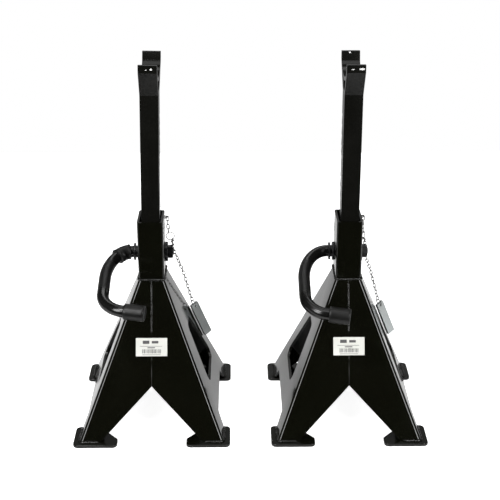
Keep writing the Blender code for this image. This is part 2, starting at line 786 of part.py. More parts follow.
def stand(prefix, cutters, with_bend_sleeve):
    """All the pieces of one stand, built on the Z axis. Returns the stand's frame."""
    origin = Vector((0, 0, 0))
    root = frame_at(f"{prefix}_stand_frame", origin)
    slide = frame_at(f"{prefix}_column_frame", Vector((0, 0, LEAN_HEIGHT)), root)
    pivot = frame_at(f"{prefix}_handle_frame", PIVOT, root)
    hang = frame_at(f"{prefix}_chain_frame", ANCHOR, root)
    swing = frame_at(f"{prefix}_lock_bar_frame", bar_ring_top(), hang)

    for word, side in (("left", -1), ("right", 1)):
        keep(base_half(f"{prefix}_base_half_{word}", side, cutters), "black_paint", root, True)
        for end, side_y in (("front", -1), ("rear", 1)):
            keep(foot(f"{prefix}_foot_{end}_{word}", side, side_y), "black_paint", root)
    keep(seam_weld(f"{prefix}_seam_weld_front", -1, 0.2365, 0.1640), "weld_paint", root, True)
    keep(seam_weld(f"{prefix}_seam_weld_rear", 1, 0.2365, 0.0920), "weld_paint", root, True)
    keep(collar(f"{prefix}_collar"), "black_paint", root, True)
    keep(collar_weld(f"{prefix}_collar_weld"), "weld_paint", root, True)
    keep(chain_anchor(f"{prefix}_chain_anchor"), "black_steel", root, True)
    keep(label(f"{prefix}_label"), "label", root)

    lean = COLUMN_LEAN[prefix]
    keep(leaning(column(f"{prefix}_ratchet_column"), lean), "cast_paint", slide)
    keep(leaning(stop_pin(f"{prefix}_stop_pin", STOP_PIN_RADIUS, 16), lean), "bright_steel", slide, True)

    drop = HANDLE_DROP[prefix]
    keep(handle(f"{prefix}_handle", drop), "black_paint", pivot, True)
    keep(pawl(f"{prefix}_pawl"), "black_steel", pivot, True)
    keep(pawl_pin(f"{prefix}_pawl_pin", PAWL_PIN_RADIUS), "bright_steel", pivot, True)
    keep(dropped(end_sleeve(f"{prefix}_handle_end_sleeve"), drop), "rubber", pivot, True)
    discs = (("hub_flange", HUB_FLANGE), ("hub_spacer", HUB_SPACER))
    discs += (("hub_washer", HUB_WASHER), ("pivot_washer", PIVOT_WASHER))
    for piece, ends_and_radius in discs:
        keep(disc_with_bore(f"{prefix}_{piece}", *ends_and_radius), "black_steel", pivot, True)
    keep(nut(f"{prefix}_pivot_nut", *PIVOT_NUT), "black_steel", pivot)
    if with_bend_sleeve:
        keep(dropped(bend_sleeve(f"{prefix}_handle_bend_sleeve"), drop), "rubber", pivot, True)

    keep(upper_chain(f"{prefix}_upper_chain", prefix), "bright_steel", hang, True)
    centre, axes = RING_CENTRE[prefix], ring_axes(prefix)
    keep(ring(f"{prefix}_chain_ring", centre, *axes, RING_RADIUS, RING_WIRE), "bright_steel", hang, True)
    keep(lower_chain(f"{prefix}_lower_chain", prefix), "bright_steel", hang, True)
    keep(lock_bar(f"{prefix}_lock_bar"), "zinc", swing)
    keep(bar_ring(f"{prefix}_lock_bar_ring"), "bright_steel", swing, True)
    return root


def main():
    cutters = base_cutters()
    for prefix, side, sleeve in (("left", -1, True), ("right", 1, False)):
        root = stand(prefix, cutters, with_bend_sleeve=sleeve)
        root.location.x = side * STAND_SPACING / 2
    for cutter in list(CUTTERS.objects):
        bpy.data.objects.remove(cutter, do_unlink=True)


main()
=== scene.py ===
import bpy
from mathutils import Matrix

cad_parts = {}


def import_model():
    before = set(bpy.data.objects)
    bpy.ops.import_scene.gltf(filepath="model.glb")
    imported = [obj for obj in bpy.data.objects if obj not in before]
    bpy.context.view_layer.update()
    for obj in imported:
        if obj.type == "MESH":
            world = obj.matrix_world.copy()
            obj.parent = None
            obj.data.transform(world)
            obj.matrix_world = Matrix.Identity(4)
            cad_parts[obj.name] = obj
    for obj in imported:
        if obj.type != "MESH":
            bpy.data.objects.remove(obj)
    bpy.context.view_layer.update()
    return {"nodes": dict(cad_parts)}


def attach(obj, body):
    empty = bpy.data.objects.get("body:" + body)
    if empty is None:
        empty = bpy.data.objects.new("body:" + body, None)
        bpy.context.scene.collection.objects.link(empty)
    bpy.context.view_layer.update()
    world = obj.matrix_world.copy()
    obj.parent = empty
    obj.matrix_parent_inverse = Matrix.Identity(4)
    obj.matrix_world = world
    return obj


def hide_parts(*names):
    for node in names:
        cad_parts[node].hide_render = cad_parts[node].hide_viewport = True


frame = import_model()

# Looks for a pair of ratchet axle jack stands: gloss black welded bases, cast columns,
# bent handles, bright chains and zinc lock bars. Metres, +Z up, +Y to the rear.
# Each piece is drawn for one stand standing on the Z axis, then moved to its place.

import random
from math import atan, atan2, cos, pi, radians, sin, sqrt

import bmesh
import bpy
from mathutils import Matrix, Vector, noise

STAND_X = {"left": -0.1577, "right": 0.1577}

# Base
FOOT_SPAN = Vector((0.250, 0.286))
PLATE, GAP, SHEET, SHEET_EDGE = 0.005, 0.0003, 0.00435, 0.0005
BASE_BOTTOM, BASE_TOP = Vector((0.1149, 0.1338)), Vector((0.0206, 0.0300))
BASE_BOTTOM_Z, BASE_TOP_Z, BEND_RADIUS = 0.0053, 0.2416, 0.005
INNER_BEND_RADIUS = BEND_RADIUS - SHEET + 0.0004
FRONT_CUT_TOP, FRONT_CUT_HALF = 0.0857, 0.0817
SIDE_CUT_TOP, SIDE_CUT_TOP_HALF, SIDE_CUT_FOOT_HALF = 0.027, 0.072, 0.0853
HOLE = [(-0.043, 0.0615), (0.076, 0.0615), (0.028, 0.1525), (-0.013, 0.1525)]
HOLE_RADIUS, ARCH_RADII = 0.012, (0.001, 0.001, 0.004, 0.004)
FOOT_LENGTH, FOOT_DEPTH, FOOT_TIP = 0.070, 0.060, 0.021
FOOT_RADII = (0.0085, 0.0075, 0.004, 0.006, 0.0075)

# Welds: half the width and the height of each bead
FOOT_BEAD, SEAM_BEAD, COLLAR_BEAD = (0.0028, 0.0022), (0.0018, 0.0012), (0.0022, 0.0021)
RIPPLE, RIPPLE_STEPS, BEAD_SIDES = 0.0026, 6, 14
WELD_LIFT, COLLAR_WELD_OUT, FOOT_WELD_START = 0.0003, 0.0004, 0.003
SEAM_WELDS = {"front": (-1, 0.2365, 0.1640), "rear": (1, 0.2365, 0.0920)}
SEAM_FILL_HALF, SEAM_FILL_RISE, SEAM_FILL_LAP = 0.0006, 0.00006, 0.001

# Collar
COLLAR_Z, COLLAR_WALL, COLLAR_RADIUS, COLLAR_INNER_RADIUS = (0.2419, 0.339), 0.0035, 0.004, 0.0015
SLOT_Y, SLOT_Z = (0.0170, 0.0240), (0.3050, 0.3210)

# Column and saddle
COLUMN_HALF_WIDTH, COLUMN_Y, COLUMN_BOTTOM = 0.01435, (-0.0251, 0.0085), 0.2245
SADDLE_NECK, SADDLE_CHIN, SADDLE_TOP = 0.5422, 0.5827, 0.5945
SADDLE_REACH, SADDLE_LIP, SADDLE_DIP = 0.0516, 0.0055, 0.018
LIP_HEIGHT, SEAT_INSET = 0.009, 0.003
TOOTH_PITCH, TOOTH_COUNT, TOOTH_DEPTH, TOOTH_HEIGHT = 0.017, 13, 0.005, 0.013
POCKET_DEPTH = 0.0035
FRONT_POCKET = [(COLUMN_Y[0] + 0.006, 0.5475), (-0.0010, 0.5475), (-0.0010, 0.5600), (-0.0335, 0.5665)]
REAR_POCKET = [(0.0045, 0.5475), (0.0095, 0.5475), (0.0335, 0.5690), (0.0045, 0.5605)]

# Pivot, pawl and handle
PIVOT = Vector((0, 0.0175, 0.272))
SHAFT_RADIUS, SHAFT_END, BORE_RADIUS = 0.006, 0.0345, 0.0064
THREAD_START, THREAD_PITCH, THREAD_DEPTH = 0.0244, 0.001, 0.0006
FIRST_TOOTH = PIVOT.z + 0.0295
STOP_PIN_RADIUS, STOP_PIN_HALF, STOP_PIN_Y, STOP_PIN_Z = 0.003, 0.0172, -0.008, 0.232
LEAN_HEIGHT, COLUMN_LEAN = 0.290, {"left": 0.018, "right": 0.0}
HANDLE_DROP = {"left": radians(16.9), "right": radians(20.1)}
ROD_RADIUS, ROD_START, ROD_OUT, ROD_END = 0.0095, -0.0303, -0.072, -0.0073
ROD_BEND, FIRST_BEND = 0.040, Vector((0.040, 0.068))
BEND_SLEEVE = (radians(5), radians(38))
HANDLE_REACH, END_TURN = 0.1528, radians(80)
SLEEVE_RADIUS, SLEEVE_LENGTH, SLEEVE_OVERLAP = 0.0125, 0.0295, 0.003
FOLD_HEIGHT, FOLD_TURNS = 0.0013, 3.5
SLEEVE_LIP_HEIGHT, SLEEVE_LIP_PLACE, TAPER_DEPTH, TAPER_LENGTH = 0.0008, 0.0018, 0.0020, 0.0012

# What turns or sits on the pivot: its left end, its right end and its radius or width
FLANGE, SPACER = (-0.0300, -0.0270, 0.0140), (-0.0267, -0.0242, 0.0095)
HUB_WASHER, PIVOT_WASHER = (-0.0239, -0.0209, 0.0150), (0.0209, 0.0249, 0.0160)
PIVOT_NUT = (0.0252, 0.0330, 0.019)

# Chain and lock bar
LINK_WIRE, LINK_PITCH, LINK_HALF_WIDTH, LINK_SLACK, LINK_TILT = 0.00072, 0.0072, 0.00230, 0.00012, 9
ANCHOR = Vector((0.0252, 0.016, 0.3320))
STAPLE_WIRE, STAPLE_HALF, STAPLE_BEND = 0.0010, 0.0042, 0.0015
RING_RADIUS, RING_WIRE = 0.0066, 0.0007
HOOK_GAP = 0.0001
STAPLE_REACH, RING_REACH = STAPLE_WIRE + LINK_WIRE + HOOK_GAP, RING_WIRE + LINK_WIRE + HOOK_GAP
RING_CENTRE = {"left": Vector((0.0290, 0.0185, 0.2985)), "right": Vector((0.0262, 0.0185, 0.2985))}
RING_TURN = {"left": 0.0, "right": radians(60)}
UPPER_HOLD, LOWER_HOLD = radians(115), radians(-60)
CHAIN_BENDS = {
    "left": [
        (0.0318, 0.0300, 0.2830),
        (0.0328, 0.0352, 0.2690),
        (0.0385, 0.0440, 0.2490),
        (0.0475, 0.0545, 0.2190),
    ],
    "right": [
        (0.0310, 0.0300, 0.2830),
        (0.0312, 0.0352, 0.2690),
        (0.0355, 0.0440, 0.2490),
        (0.0455, 0.0545, 0.2190),
    ],
}
BAR_LENGTH, BAR_WIDTH, BAR_THICKNESS = 0.063, 0.015, 0.005
BAR_TOP = Vector((0.0630, 0.0675, 0.1570))
BAR_TWIST, BAR_DRIFT = radians(38), 0.11664
BAR_HOLE, BAR_HOLE_DEPTH, BAR_RING_RADIUS = 0.0024, 0.0045, 0.0055

# Label on the front. Each mark: left, low, width and height from the label's middle
LABEL_HALF, LABEL_THICKNESS, LABEL_Z = Vector((0.025, 0.0145)), 0.0002, 0.1435
LABEL_LIFT, INK = 0.0001, 0.00002
MARKS = [
    (-0.0140, 0.0052, 0.0105, 0.0052),
    (0.0005, 0.0058, 0.0105, 0.0040),
    (-0.0185, 0.0010, 0.0350, 0.0006),
    (-0.0065, -0.0018, 0.0120, 0.0016),
    (-0.0145, -0.0125, 0.0290, 0.0007),
]
STRIPE_HALF_RUN, STRIPE_LOW, STRIPE_HEIGHT = 0.0150, -0.0100, 0.0065
STRIPE_WIDTHS, STRIPE_GAPS = (0.00035, 0.0006, 0.0009), (0.0004, 0.0006, 0.0008)

# Studio
CAMERA_PLACE, CAMERA_DOWN, CAMERA_TURN = (-0.0199, -1.8308, 1.0045), radians(21.571), radians(0.632)
LENS, SENSOR = 87.93, 36.0
FLOOR_SIDE, FLOOR_FRONT, FLOOR_REAR, FLOOR_GLOW = 4, -0.40, 1.45, 0.90
MIDDLE = (0, 0, 0.25)
LIGHTS = [
    ("key", (-0.56, -0.83, 1.42), MIDDLE, (0.36, 0.36), 7),
    ("left_box", (-1.02, -1.27, 0.95), MIDDLE, (0.55, 0.95), 19),
    ("right_box", (1.02, -1.27, 0.95), MIDDLE, (0.55, 0.95), 22),
    ("rear_top", (0.0, 1.35, 2.25), MIDDLE, (1.7, 0.45), 7),
    ("overhead", (0.0, 0.6, 2.6), (0, 0.3, 0), (2.4, 1.6), 38),
    ("top_gloss", (0.0, -0.30, 2.1), MIDDLE, (1.3, 1.2), 9),
]

scene = bpy.context.scene


# ---- shapes ----


def new_object(name, bm):
    """An object of a finished mesh, shaded smooth. Its bevels keep the flats flat."""
    bmesh.ops.remove_doubles(bm, verts=bm.verts, dist=1e-7)
    bmesh.ops.recalc_face_normals(bm, faces=bm.faces)
    for face in bm.faces:
        face.smooth = True
    mesh = bpy.data.meshes.new(name)
    bm.to_mesh(mesh)
    bm.free()
    obj = bpy.data.objects.new(name, mesh)
    scene.collection.objects.link(obj)
    return obj


def made(obj):
    """The object with its modifiers worked into its mesh."""
    bpy.context.view_layer.update()
    mesh = bpy.data.meshes.new_from_object(obj.evaluated_get(bpy.context.evaluated_depsgraph_get()))
    obj.modifiers.clear()
    old, obj.data = obj.data, mesh
    bpy.data.meshes.remove(old)
    return obj


def boolean(obj, tool, operation="DIFFERENCE"):
    modifier = obj.modifiers.new("cut", "BOOLEAN")
    modifier.operation, modifier.solver, modifier.object = operation, "EXACT", tool
    made(obj)
    bpy.data.objects.remove(tool, do_unlink=True)
    bm = bmesh.new()
    bm.from_mesh(obj.data)
    bmesh.ops.remove_doubles(bm, verts=bm.verts, dist=1e-7)
    for face in bm.faces:
        face.smooth = True
    bm.to_mesh(obj.data)
    bm.free()
    return obj


def bevel(obj, width, segments=2, angle=30):
    modifier = obj.modifiers.new("bevel", "BEVEL")
    modifier.width, modifier.segments = width, segments
    modifier.limit_method, modifier.angle_limit = "ANGLE", radians(angle)
    modifier.harden_normals = True
    modifier.miter_outer = "MITER_ARC"
    return obj


PLACES = {
    "X": lambda u, v, w: Vector((w, u, v)),
    "Y": lambda u, v, w: Vector((u, w, v)),
    "Z": lambda u, v, w: Vector((u, v, w)),
}


def prism(name, outline, axis, low, high):
    """A flat outline thickened along an axis."""
    bm = bmesh.new()
    ends = [[bm.verts.new(PLACES[axis](u, v, w)) for u, v in outline] for w in (low, high)]
    for end in ends:
        bm.faces.new(end)
    bridge(bm, *ends)
    return new_object(name, bm)


def bridge(bm, first, second):
    """Faces between two rows of points; a row of one point is the tip of a fan."""
    count = max(len(first), len(second))
    for j in range(count):
        k = (j + 1) % count
        corners = [row[i % len(row)] for row, i in ((first, j), (first, k), (second, k), (second, j))]
        corners = list(dict.fromkeys(corners))
        if len(corners) > 2:
            bm.faces.new(corners)


def sweep(name, points, section, normal, closed=False):
    """A bar along points. section(i) gives its cross section there: u along the normal, v beside it."""
    bm = bmesh.new()
    rings = []
    up, last = Vector(normal), len(points) - 1
    for i, point in enumerate(points):
        ahead = points[(i + 1) % len(points)] if closed else points[min(i + 1, last)]
        behind = points[i - 1] if closed else points[max(i - 1, 0)]
        tangent = (ahead - behind).normalized()
        up = (up - tangent * up.dot(tangent)).normalized()
        side = tangent.cross(up)
        rings.append([bm.verts.new(point + up * u + side * v) for u, v in section(i)])
    for first, second in zip(rings, rings[1:] + rings[:1] if closed else rings[1:]):
        bridge(bm, first, second)
    if not closed:
        bm.faces.new(rings[0])
        bm.faces.new(rings[-1])
    return new_object(name, bm)


def lathe(name, profile, start, along, steps=40, closed=False):
    """A turned shape: profile gives distances along the axis and radii."""
    along = Vector(along).normalized()
    across = along.orthogonal().normalized()
    beside = along.cross(across)
    bm = bmesh.new()
    rows = []
    for distance, radius in profile:
        centre = Vector(start) + along * distance
        if radius < 1e-7:
            rows.append([bm.verts.new(centre)])
            continue
        row = [2 * pi * j / steps for j in range(steps)]
        rows.append([bm.verts.new(centre + across * radius * cos(a) + beside * radius * sin(a)) for a in row])
    for first, second in zip(rows, rows[1:] + rows[:1] if closed else rows[1:]):
        bridge(bm, first, second)
    return new_object(name, bm)


def circle(centre, radius, steps=24, start=0.0, turn=2 * pi):
    """Points round a circle, or along an arc of it."""
    count = steps if turn == 2 * pi else steps + 1
    angles = [start + turn * i / steps for i in range(count)]
    return [(centre[0] + radius * cos(a), centre[1] + radius * sin(a)) for a in angles]


def round_section(radius, steps):
    outline = circle((0, 0), radius, steps)
    return lambda i: outline


def rounded(corners, radius, steps=6):
    """A polygon whose corners are arcs. radius may be one number or one for each corner."""
    points = []
    count = len(corners)
    radii = radius if isinstance(radius, (list, tuple)) else [radius] * count
    for i, corner in enumerate(corners):
        here = Vector(corner)
        before = (Vector(corners[i - 1]) - here).normalized()
        after = (Vector(corners[(i + 1) % count]) - here).normalized()
        half = before.angle(after) / 2
        reach = radii[i] / sin(half)
        centre = here + (before + after).normalized() * reach
        first = here + before * (reach * cos(half)) - centre
        last = here + after * (reach * cos(half)) - centre
        start = atan2(first.y, first.x)
        turn = atan2(first.x * last.y - first.y * last.x, first.dot(last))
        points += circle(centre, radii[i], steps, start, turn)
    return points


def rectangle(half_u, half_v):
    return [(half_u, -half_v), (half_u, half_v), (-half_u, half_v), (-half_u, -half_v)]


def joined(name, objects):
    """One object of several loose shapes."""
    bm = bmesh.new()
    for obj in objects:
        bm.from_mesh(made(obj).data)
        bpy.data.objects.remove(obj, do_unlink=True)
    mesh = bpy.data.meshes.new(name)
    bm.to_mesh(mesh)
    bm.free()
    whole = bpy.data.objects.new(name, mesh)
    scene.collection.objects.link(whole)
    return whole


def bead(name, path, normal, half, height, seed, closed=False):
    """A weld bead: overlapping ripples along a path, a little uneven in width and height."""
    draw = random.Random(seed)
    route, lengths = [], [0.0]
    ends = path + path[:1] if closed else path
    for start, end in zip(ends, ends[1:]):
        count = max(1, round((end - start).length / (RIPPLE / RIPPLE_STEPS)))
        route += [start.lerp(end, i / count) for i in range(count)]
    if not closed:
        route.append(path[-1])
    for start, end in zip(route, route[1:]):
        lengths.append(lengths[-1] + (end - start).length)
    whole = round(lengths[-1] / RIPPLE)
    sizes = [draw.uniform(0.82, 1.12) for _ in range(whole + 2)]
    angles = [2 * pi * j / BEAD_SIDES for j in range(BEAD_SIDES)]

    def section(i):
        place = lengths[i] / RIPPLE
        number, share = int(place), place - int(place)
        scale = sizes[number % (whole + 1)] * (0.86 + 0.14 * (1 - share) ** 0.5)
        if not closed:
            to_end = min(lengths[i], lengths[-1] - lengths[i])
            scale *= min(1.0, 0.35 + to_end / (2 * half))
        wobble = 0.18 * half * noise.noise(route[i] * 260 + Vector((seed, 0, 0)))
        return [(height * scale * sin(a), wobble + half * scale * cos(a)) for a in angles]

    return sweep(name, route, section, normal, closed)


# ---- base ----


def slope(axis):
    """How far a panel leans in for each metre up. axis 0 is a side panel and 1 the front or rear."""
    return (BASE_BOTTOM[axis] - BASE_TOP[axis]) / (BASE_TOP_Z - PLATE)


def half_width(axis, z):
    return BASE_TOP[axis] + slope(axis) * (BASE_TOP_Z - z)


def half_section(side, z):
    """A closed section through one bent half of the base: outside, then back along the inside."""
    across, deep, seam = half_width(0, z), half_width(1, z), GAP / 2
    points = []
    for inset, radius in ((0, BEND_RADIUS), (SHEET, INNER_BEND_RADIUS)):
        x, y = across - inset - radius, deep - inset - radius
        line = [(seam, -deep + inset), *circle((x, -y), radius, 10, -pi / 2, pi / 2)]
        line += [*circle((x, y), radius, 10, 0, pi / 2), (seam, deep - inset)]
        points += line if not inset else line[::-1]
    return [Vector((side * x, y, z)) for x, y in points]


def base_half(side):
    """One half of the base: a bent sheet with an arch in each panel and a hole through its side."""
    bm = bmesh.new()
    ends = [[bm.verts.new(p) for p in half_section(side, z)] for z in (BASE_BOTTOM_Z, BASE_TOP_Z)]
    for end in ends:
        bm.faces.new(end)
    bridge(bm, *ends)
    obj = new_object("base_half", bm)
    far, below = 0.3, -0.02
    front_foot = FRONT_CUT_HALF + FRONT_CUT_HALF / (FRONT_CUT_TOP - PLATE) * (PLATE - below)
    lean = (SIDE_CUT_FOOT_HALF - SIDE_CUT_TOP_HALF) / (SIDE_CUT_TOP - PLATE)
    side_foot = SIDE_CUT_FOOT_HALF + lean * (PLATE - below)
    front = [(-front_foot, below), (front_foot, below), (0, FRONT_CUT_TOP)]
    arch = [(-side_foot, below), (side_foot, below), (SIDE_CUT_TOP_HALF, SIDE_CUT_TOP),
            (-SIDE_CUT_TOP_HALF, SIDE_CUT_TOP)]
    arch = rounded(arch, ARCH_RADII)
    hole = rounded(HOLE, HOLE_RADIUS, 12)
    boolean(obj, prism("front_cut", front, "Y", -far, far))
    boolean(obj, prism("side_cut", arch, "X", -far, far))
    boolean(obj, prism("side_hole", hole, "X", -far, far))
    return bevel(obj, SHEET_EDGE)


def foot(side_x, side_y):
    outer, inner = FOOT_SPAN / 2, FOOT_SPAN / 2 - Vector((FOOT_LENGTH, FOOT_DEPTH))
    corners = [(outer.x, outer.y), (inner.x, outer.y), (inner.x, outer.y - FOOT_TIP),
               (inner.x + FOOT_LENGTH / 2 - 0.003, inner.y), (outer.x, inner.y)]
    outline = rounded(corners, FOOT_RADII)
    return bevel(prism("foot", [(side_x * x, side_y * y) for x, y in outline], "Z", 0, PLATE), 0.0009, 3)


def panel_point(axis, sign, along, z, off=0.0):
    """A point of a panel's outer face, or off it."""
    tilt = atan(slope(axis))
    place = [along, along, z + off * sin(tilt)]
    place[axis] = sign * (half_width(axis, z) + off * cos(tilt))
    return Vector(place)


def foot_weld(side_x, side_y, seed):
    """The bead round the outside of a leg, where it stands on its foot."""
    z = BASE_BOTTOM_Z + WELD_LIFT
    x, y = half_width(0, z), half_width(1, z)
    inner_x, inner_y = FRONT_CUT_HALF + FOOT_WELD_START, SIDE_CUT_FOOT_HALF + FOOT_WELD_START
    corner = circle((x - BEND_RADIUS, y - BEND_RADIUS), BEND_RADIUS, 6, pi / 2, -pi / 2)
    line = [(inner_x, y), *corner, (x, inner_y)]
    path = [Vector((side_x * px, side_y * py, z)) for px, py in line]
    return bead("foot_weld", path, (0, 0, 1), *FOOT_BEAD, seed)


def seam_weld(sign, top, bottom, seed):
    path = [panel_point(1, sign, 0, z) for z in (top, bottom)]
    return bead("seam_weld", path, (0, sign, slope(1)), *SEAM_BEAD, seed)


def seam_fill(sign, bottom):
    """A flat line of paint over the seam, from the arch up to the end of the weld."""
    points = []
    for off in (-SEAM_FILL_HALF, SEAM_FILL_RISE):
        for z in (FRONT_CUT_TOP + SEAM_FILL_HALF, bottom + SEAM_FILL_LAP):
            points += [panel_point(1, sign, x, z, off) for x in (-SEAM_FILL_HALF, SEAM_FILL_HALF)]
    bm = bmesh.new()
    bmesh.ops.convex_hull(bm, input=[bm.verts.new(p) for p in points])
    return new_object("seam_fill", bm)


def collar_weld(seed):
    z = BASE_TOP_Z + WELD_LIFT
    loop = rounded(rectangle(BASE_TOP.x + COLLAR_WELD_OUT, BASE_TOP.y + COLLAR_WELD_OUT), COLLAR_RADIUS, 5)
    path = [Vector((x, y, z)) for x, y in loop]
    return bead("collar_weld", path, (0, 0, 1), *COLLAR_BEAD, seed, closed=True)


def collar():
    """The square tube that guides the column, with the pivot's bore and a slot through its sides."""
    low, high = COLLAR_Z
    outer = rounded(rectangle(BASE_TOP.x, BASE_TOP.y), COLLAR_RADIUS, 8)
    inner = rounded(rectangle(BASE_TOP.x - COLLAR_WALL, BASE_TOP.y - COLLAR_WALL), COLLAR_INNER_RADIUS, 4)
    far = 0.05
    slot_y, slot_z = sum(SLOT_Y) / 2, sum(SLOT_Z) / 2
    window = rectangle((SLOT_Y[1] - SLOT_Y[0]) / 2, (SLOT_Z[1] - SLOT_Z[0]) / 2)
    slot = rounded([(slot_y + u, slot_z + v) for u, v in window], COLLAR_INNER_RADIUS, 4)
    obj = prism("collar", outer, "Z", low, high)
    boolean(obj, prism("collar_inside", inner, "Z", low - far, high + far))
    boolean(obj, prism("collar_bore", circle((PIVOT.y, PIVOT.z), BORE_RADIUS, 32), "X", -far, far))
    boolean(obj, prism("collar_slot", slot, "X", -far, far))
    return bevel(obj, SHEET_EDGE)


def label_place():
    return Matrix.Translation(panel_point(1, -1, 0, LABEL_Z)) @ Matrix.Rotation(-atan(slope(1)), 4, "X")


def label():
    outline = rounded(rectangle(*LABEL_HALF), 0.0008, 4)
    sticker = prism("label", outline, "Y", -LABEL_LIFT - LABEL_THICKNESS, -LABEL_LIFT)
    sticker.data.transform(label_place())
    return bevel(sticker, 0.00005, 1)


def label_print():
    """Plain printed marks on the label: heading bars, thin lines and a row of stripes."""
    face = -LABEL_LIFT - LABEL_THICKNESS
    marks = list(MARKS)
    draw = random.Random(7)
    x = -STRIPE_HALF_RUN
    while x < STRIPE_HALF_RUN:
        width = draw.choice(STRIPE_WIDTHS)
        marks.append((x, STRIPE_LOW, width, STRIPE_HEIGHT))
        x += width + draw.choice(STRIPE_GAPS)
    bars = []
    for x, z, width, height in marks:
        corners = [(x, z), (x + width, z), (x + width, z + height), (x, z + height)]
        bars.append(prism("mark", corners, "Y", face - INK, face + INK))
    whole = joined("label_print", bars)
    whole.data.transform(label_place())
    return whole


# ---- column ----


def column():
    """The toothed bar and the saddle cast on it, drawn from the side, with shallow pockets in the saddle."""
    half = COLUMN_HALF_WIDTH
    front, rear = COLUMN_Y
    points = [(front, COLUMN_BOTTOM), (rear, COLUMN_BOTTOM)]
    for tooth in range(TOOTH_COUNT):
        top = FIRST_TOOTH + tooth * TOOTH_PITCH
        points += [(rear, top - TOOTH_HEIGHT), (rear - TOOTH_DEPTH, top), (rear, top)]
    points += [(rear, SADDLE_NECK), (SADDLE_REACH, SADDLE_CHIN), (SADDLE_REACH, SADDLE_TOP)]
    lip, shoulder, steps = SADDLE_REACH - SADDLE_LIP, SADDLE_TOP - LIP_HEIGHT, 36
    points.append((lip, SADDLE_TOP))
    for i in range(steps + 1):
        turn = pi * i / steps
        points.append(((lip - SEAT_INSET) * cos(turn), shoulder - SADDLE_DIP * sin(turn)))
    points += [(-lip, SADDLE_TOP), (-SADDLE_REACH, SADDLE_TOP), (-SADDLE_REACH, SADDLE_CHIN)]
    points.append((front, SADDLE_NECK))
    obj = prism("column", points, "X", -half, half)
    pockets = [rounded(FRONT_POCKET, 0.002, 5), rounded(REAR_POCKET, 0.0012, 5)]
    for side in (-1, 1):
        ends = sorted((side * (half - POCKET_DEPTH), side * (half + POCKET_DEPTH)))
        for outline in pockets:
            boolean(obj, prism("pocket", outline, "X", *ends))
    return bevel(obj, 0.0009, 3, 25)


def stop_pin():
    reach, r, chamfer = STOP_PIN_HALF, STOP_PIN_RADIUS, 0.0006
    half = [(reach - chamfer, r), (reach, r - chamfer), (reach, 0)]
    profile = [(-x, radius) for x, radius in half[::-1]] + half
    return lathe("stop_pin", profile, (0, STOP_PIN_Y, STOP_PIN_Z), (1, 0, 0), 24)


def turned(obj, point, axis, angle):
    """Turns a shape about an axis through a point."""
    obj = made(obj)
    centre = Matrix.Translation(point)
    obj.data.transform(centre @ Matrix.Rotation(angle, 4, axis) @ centre.inverted())
    return obj


# ---- pawl and handle ----


def pawl():
    """A cam drawn about the pivot: a round boss, and a nose on an arc that reaches into a tooth gap."""
    reach, boss_radius, top = 0.0303, 0.0083, 0.0370
    nose = [(y, sqrt(reach**2 - y * y)) for y in (-0.0085, -0.0103, -0.0120)]
    outline = [*nose, (-0.0120, 0.0252), (-0.0084, 0.0160)]
    outline += circle((0, 0), boss_radius, 20, radians(175), radians(200))
    outline += [(-0.0025, top), (-0.0078, top), (-0.0078, nose[0][1])]
    placed = [(PIVOT.y + y, PIVOT.z + z) for y, z in outline]
    return bevel(prism("pawl", placed, "X", -0.009, 0.009), 0.0004)


def handle_place(x, forward):
    """A point of the handle while it is level."""
    return Vector((x, PIVOT.y - forward, PIVOT.z))


def first_bend(start, end, steps):
    """Out along the pivot's axis, then forward, on a quarter of an ellipse."""
    middle = ROD_OUT + FIRST_BEND.x
    angles = [start + (end - start) * i / steps for i in range(steps + 1)]
    return [handle_place(middle - FIRST_BEND.x * sin(a), FIRST_BEND.y * (1 - cos(a))) for a in angles]


def last_bend(centre, steps):
    """Back towards the stand, on an arc whose centre lies that far forward."""
    middle = ROD_OUT + ROD_BEND
    angles = [END_TURN * i / steps for i in range(steps + 1)]
    return [handle_place(middle - ROD_BEND * cos(a), centre + ROD_BEND * sin(a)) for a in angles]


def last_straight():
    """The last bend's centre, and the two ends of the straight after it."""
    middle = ROD_OUT + ROD_BEND
    bend_end = Vector((middle - ROD_BEND * cos(END_TURN), ROD_BEND * sin(END_TURN)))
    along = Vector((sin(END_TURN), cos(END_TURN)))
    run = (ROD_END - bend_end.x) / along.x
    centre = HANDLE_REACH - bend_end.y - run * along.y
    return centre, handle_place(bend_end.x, centre + bend_end.y), handle_place(ROD_END, HANDLE_REACH)


def handle():
    centre, start, end = last_straight()
    first = first_bend(0, pi / 2, 36)
    last = last_bend(centre, 28)
    straight = [first[-1].lerp(last[0], i / 8) for i in range(1, 8)]
    run_out = [start.lerp(end, i / 6) for i in range(1, 7)]
    path = [handle_place(ROD_START, 0), *first, *straight, *last, *run_out]
    rod = sweep("handle", path, round_section(ROD_RADIUS, 36), handle_place(0, -1) - handle_place(0, 0))
    return bevel(rod, 0.0008, 3, 60)


def shaft():
    """The pivot's shaft, with a chamfered end and the last turns of its thread showing past the nut."""
    r, end = SHAFT_RADIUS, SHAFT_END
    profile = [(ROD_START - 0.004, 0), (ROD_START - 0.004, r), (THREAD_START - 0.0004, r)]
    x = THREAD_START
    while x < end - 0.0008:
        profile += [(x, r - THREAD_DEPTH), (x + THREAD_PITCH / 2, r - 0.00005)]
        x += THREAD_PITCH
    profile += [(end - 0.0006, r - 0.0007), (end, r - 0.0014), (end, 0)]
    return lathe("shaft", profile, (0, PIVOT.y, PIVOT.z), (1, 0, 0), 36)


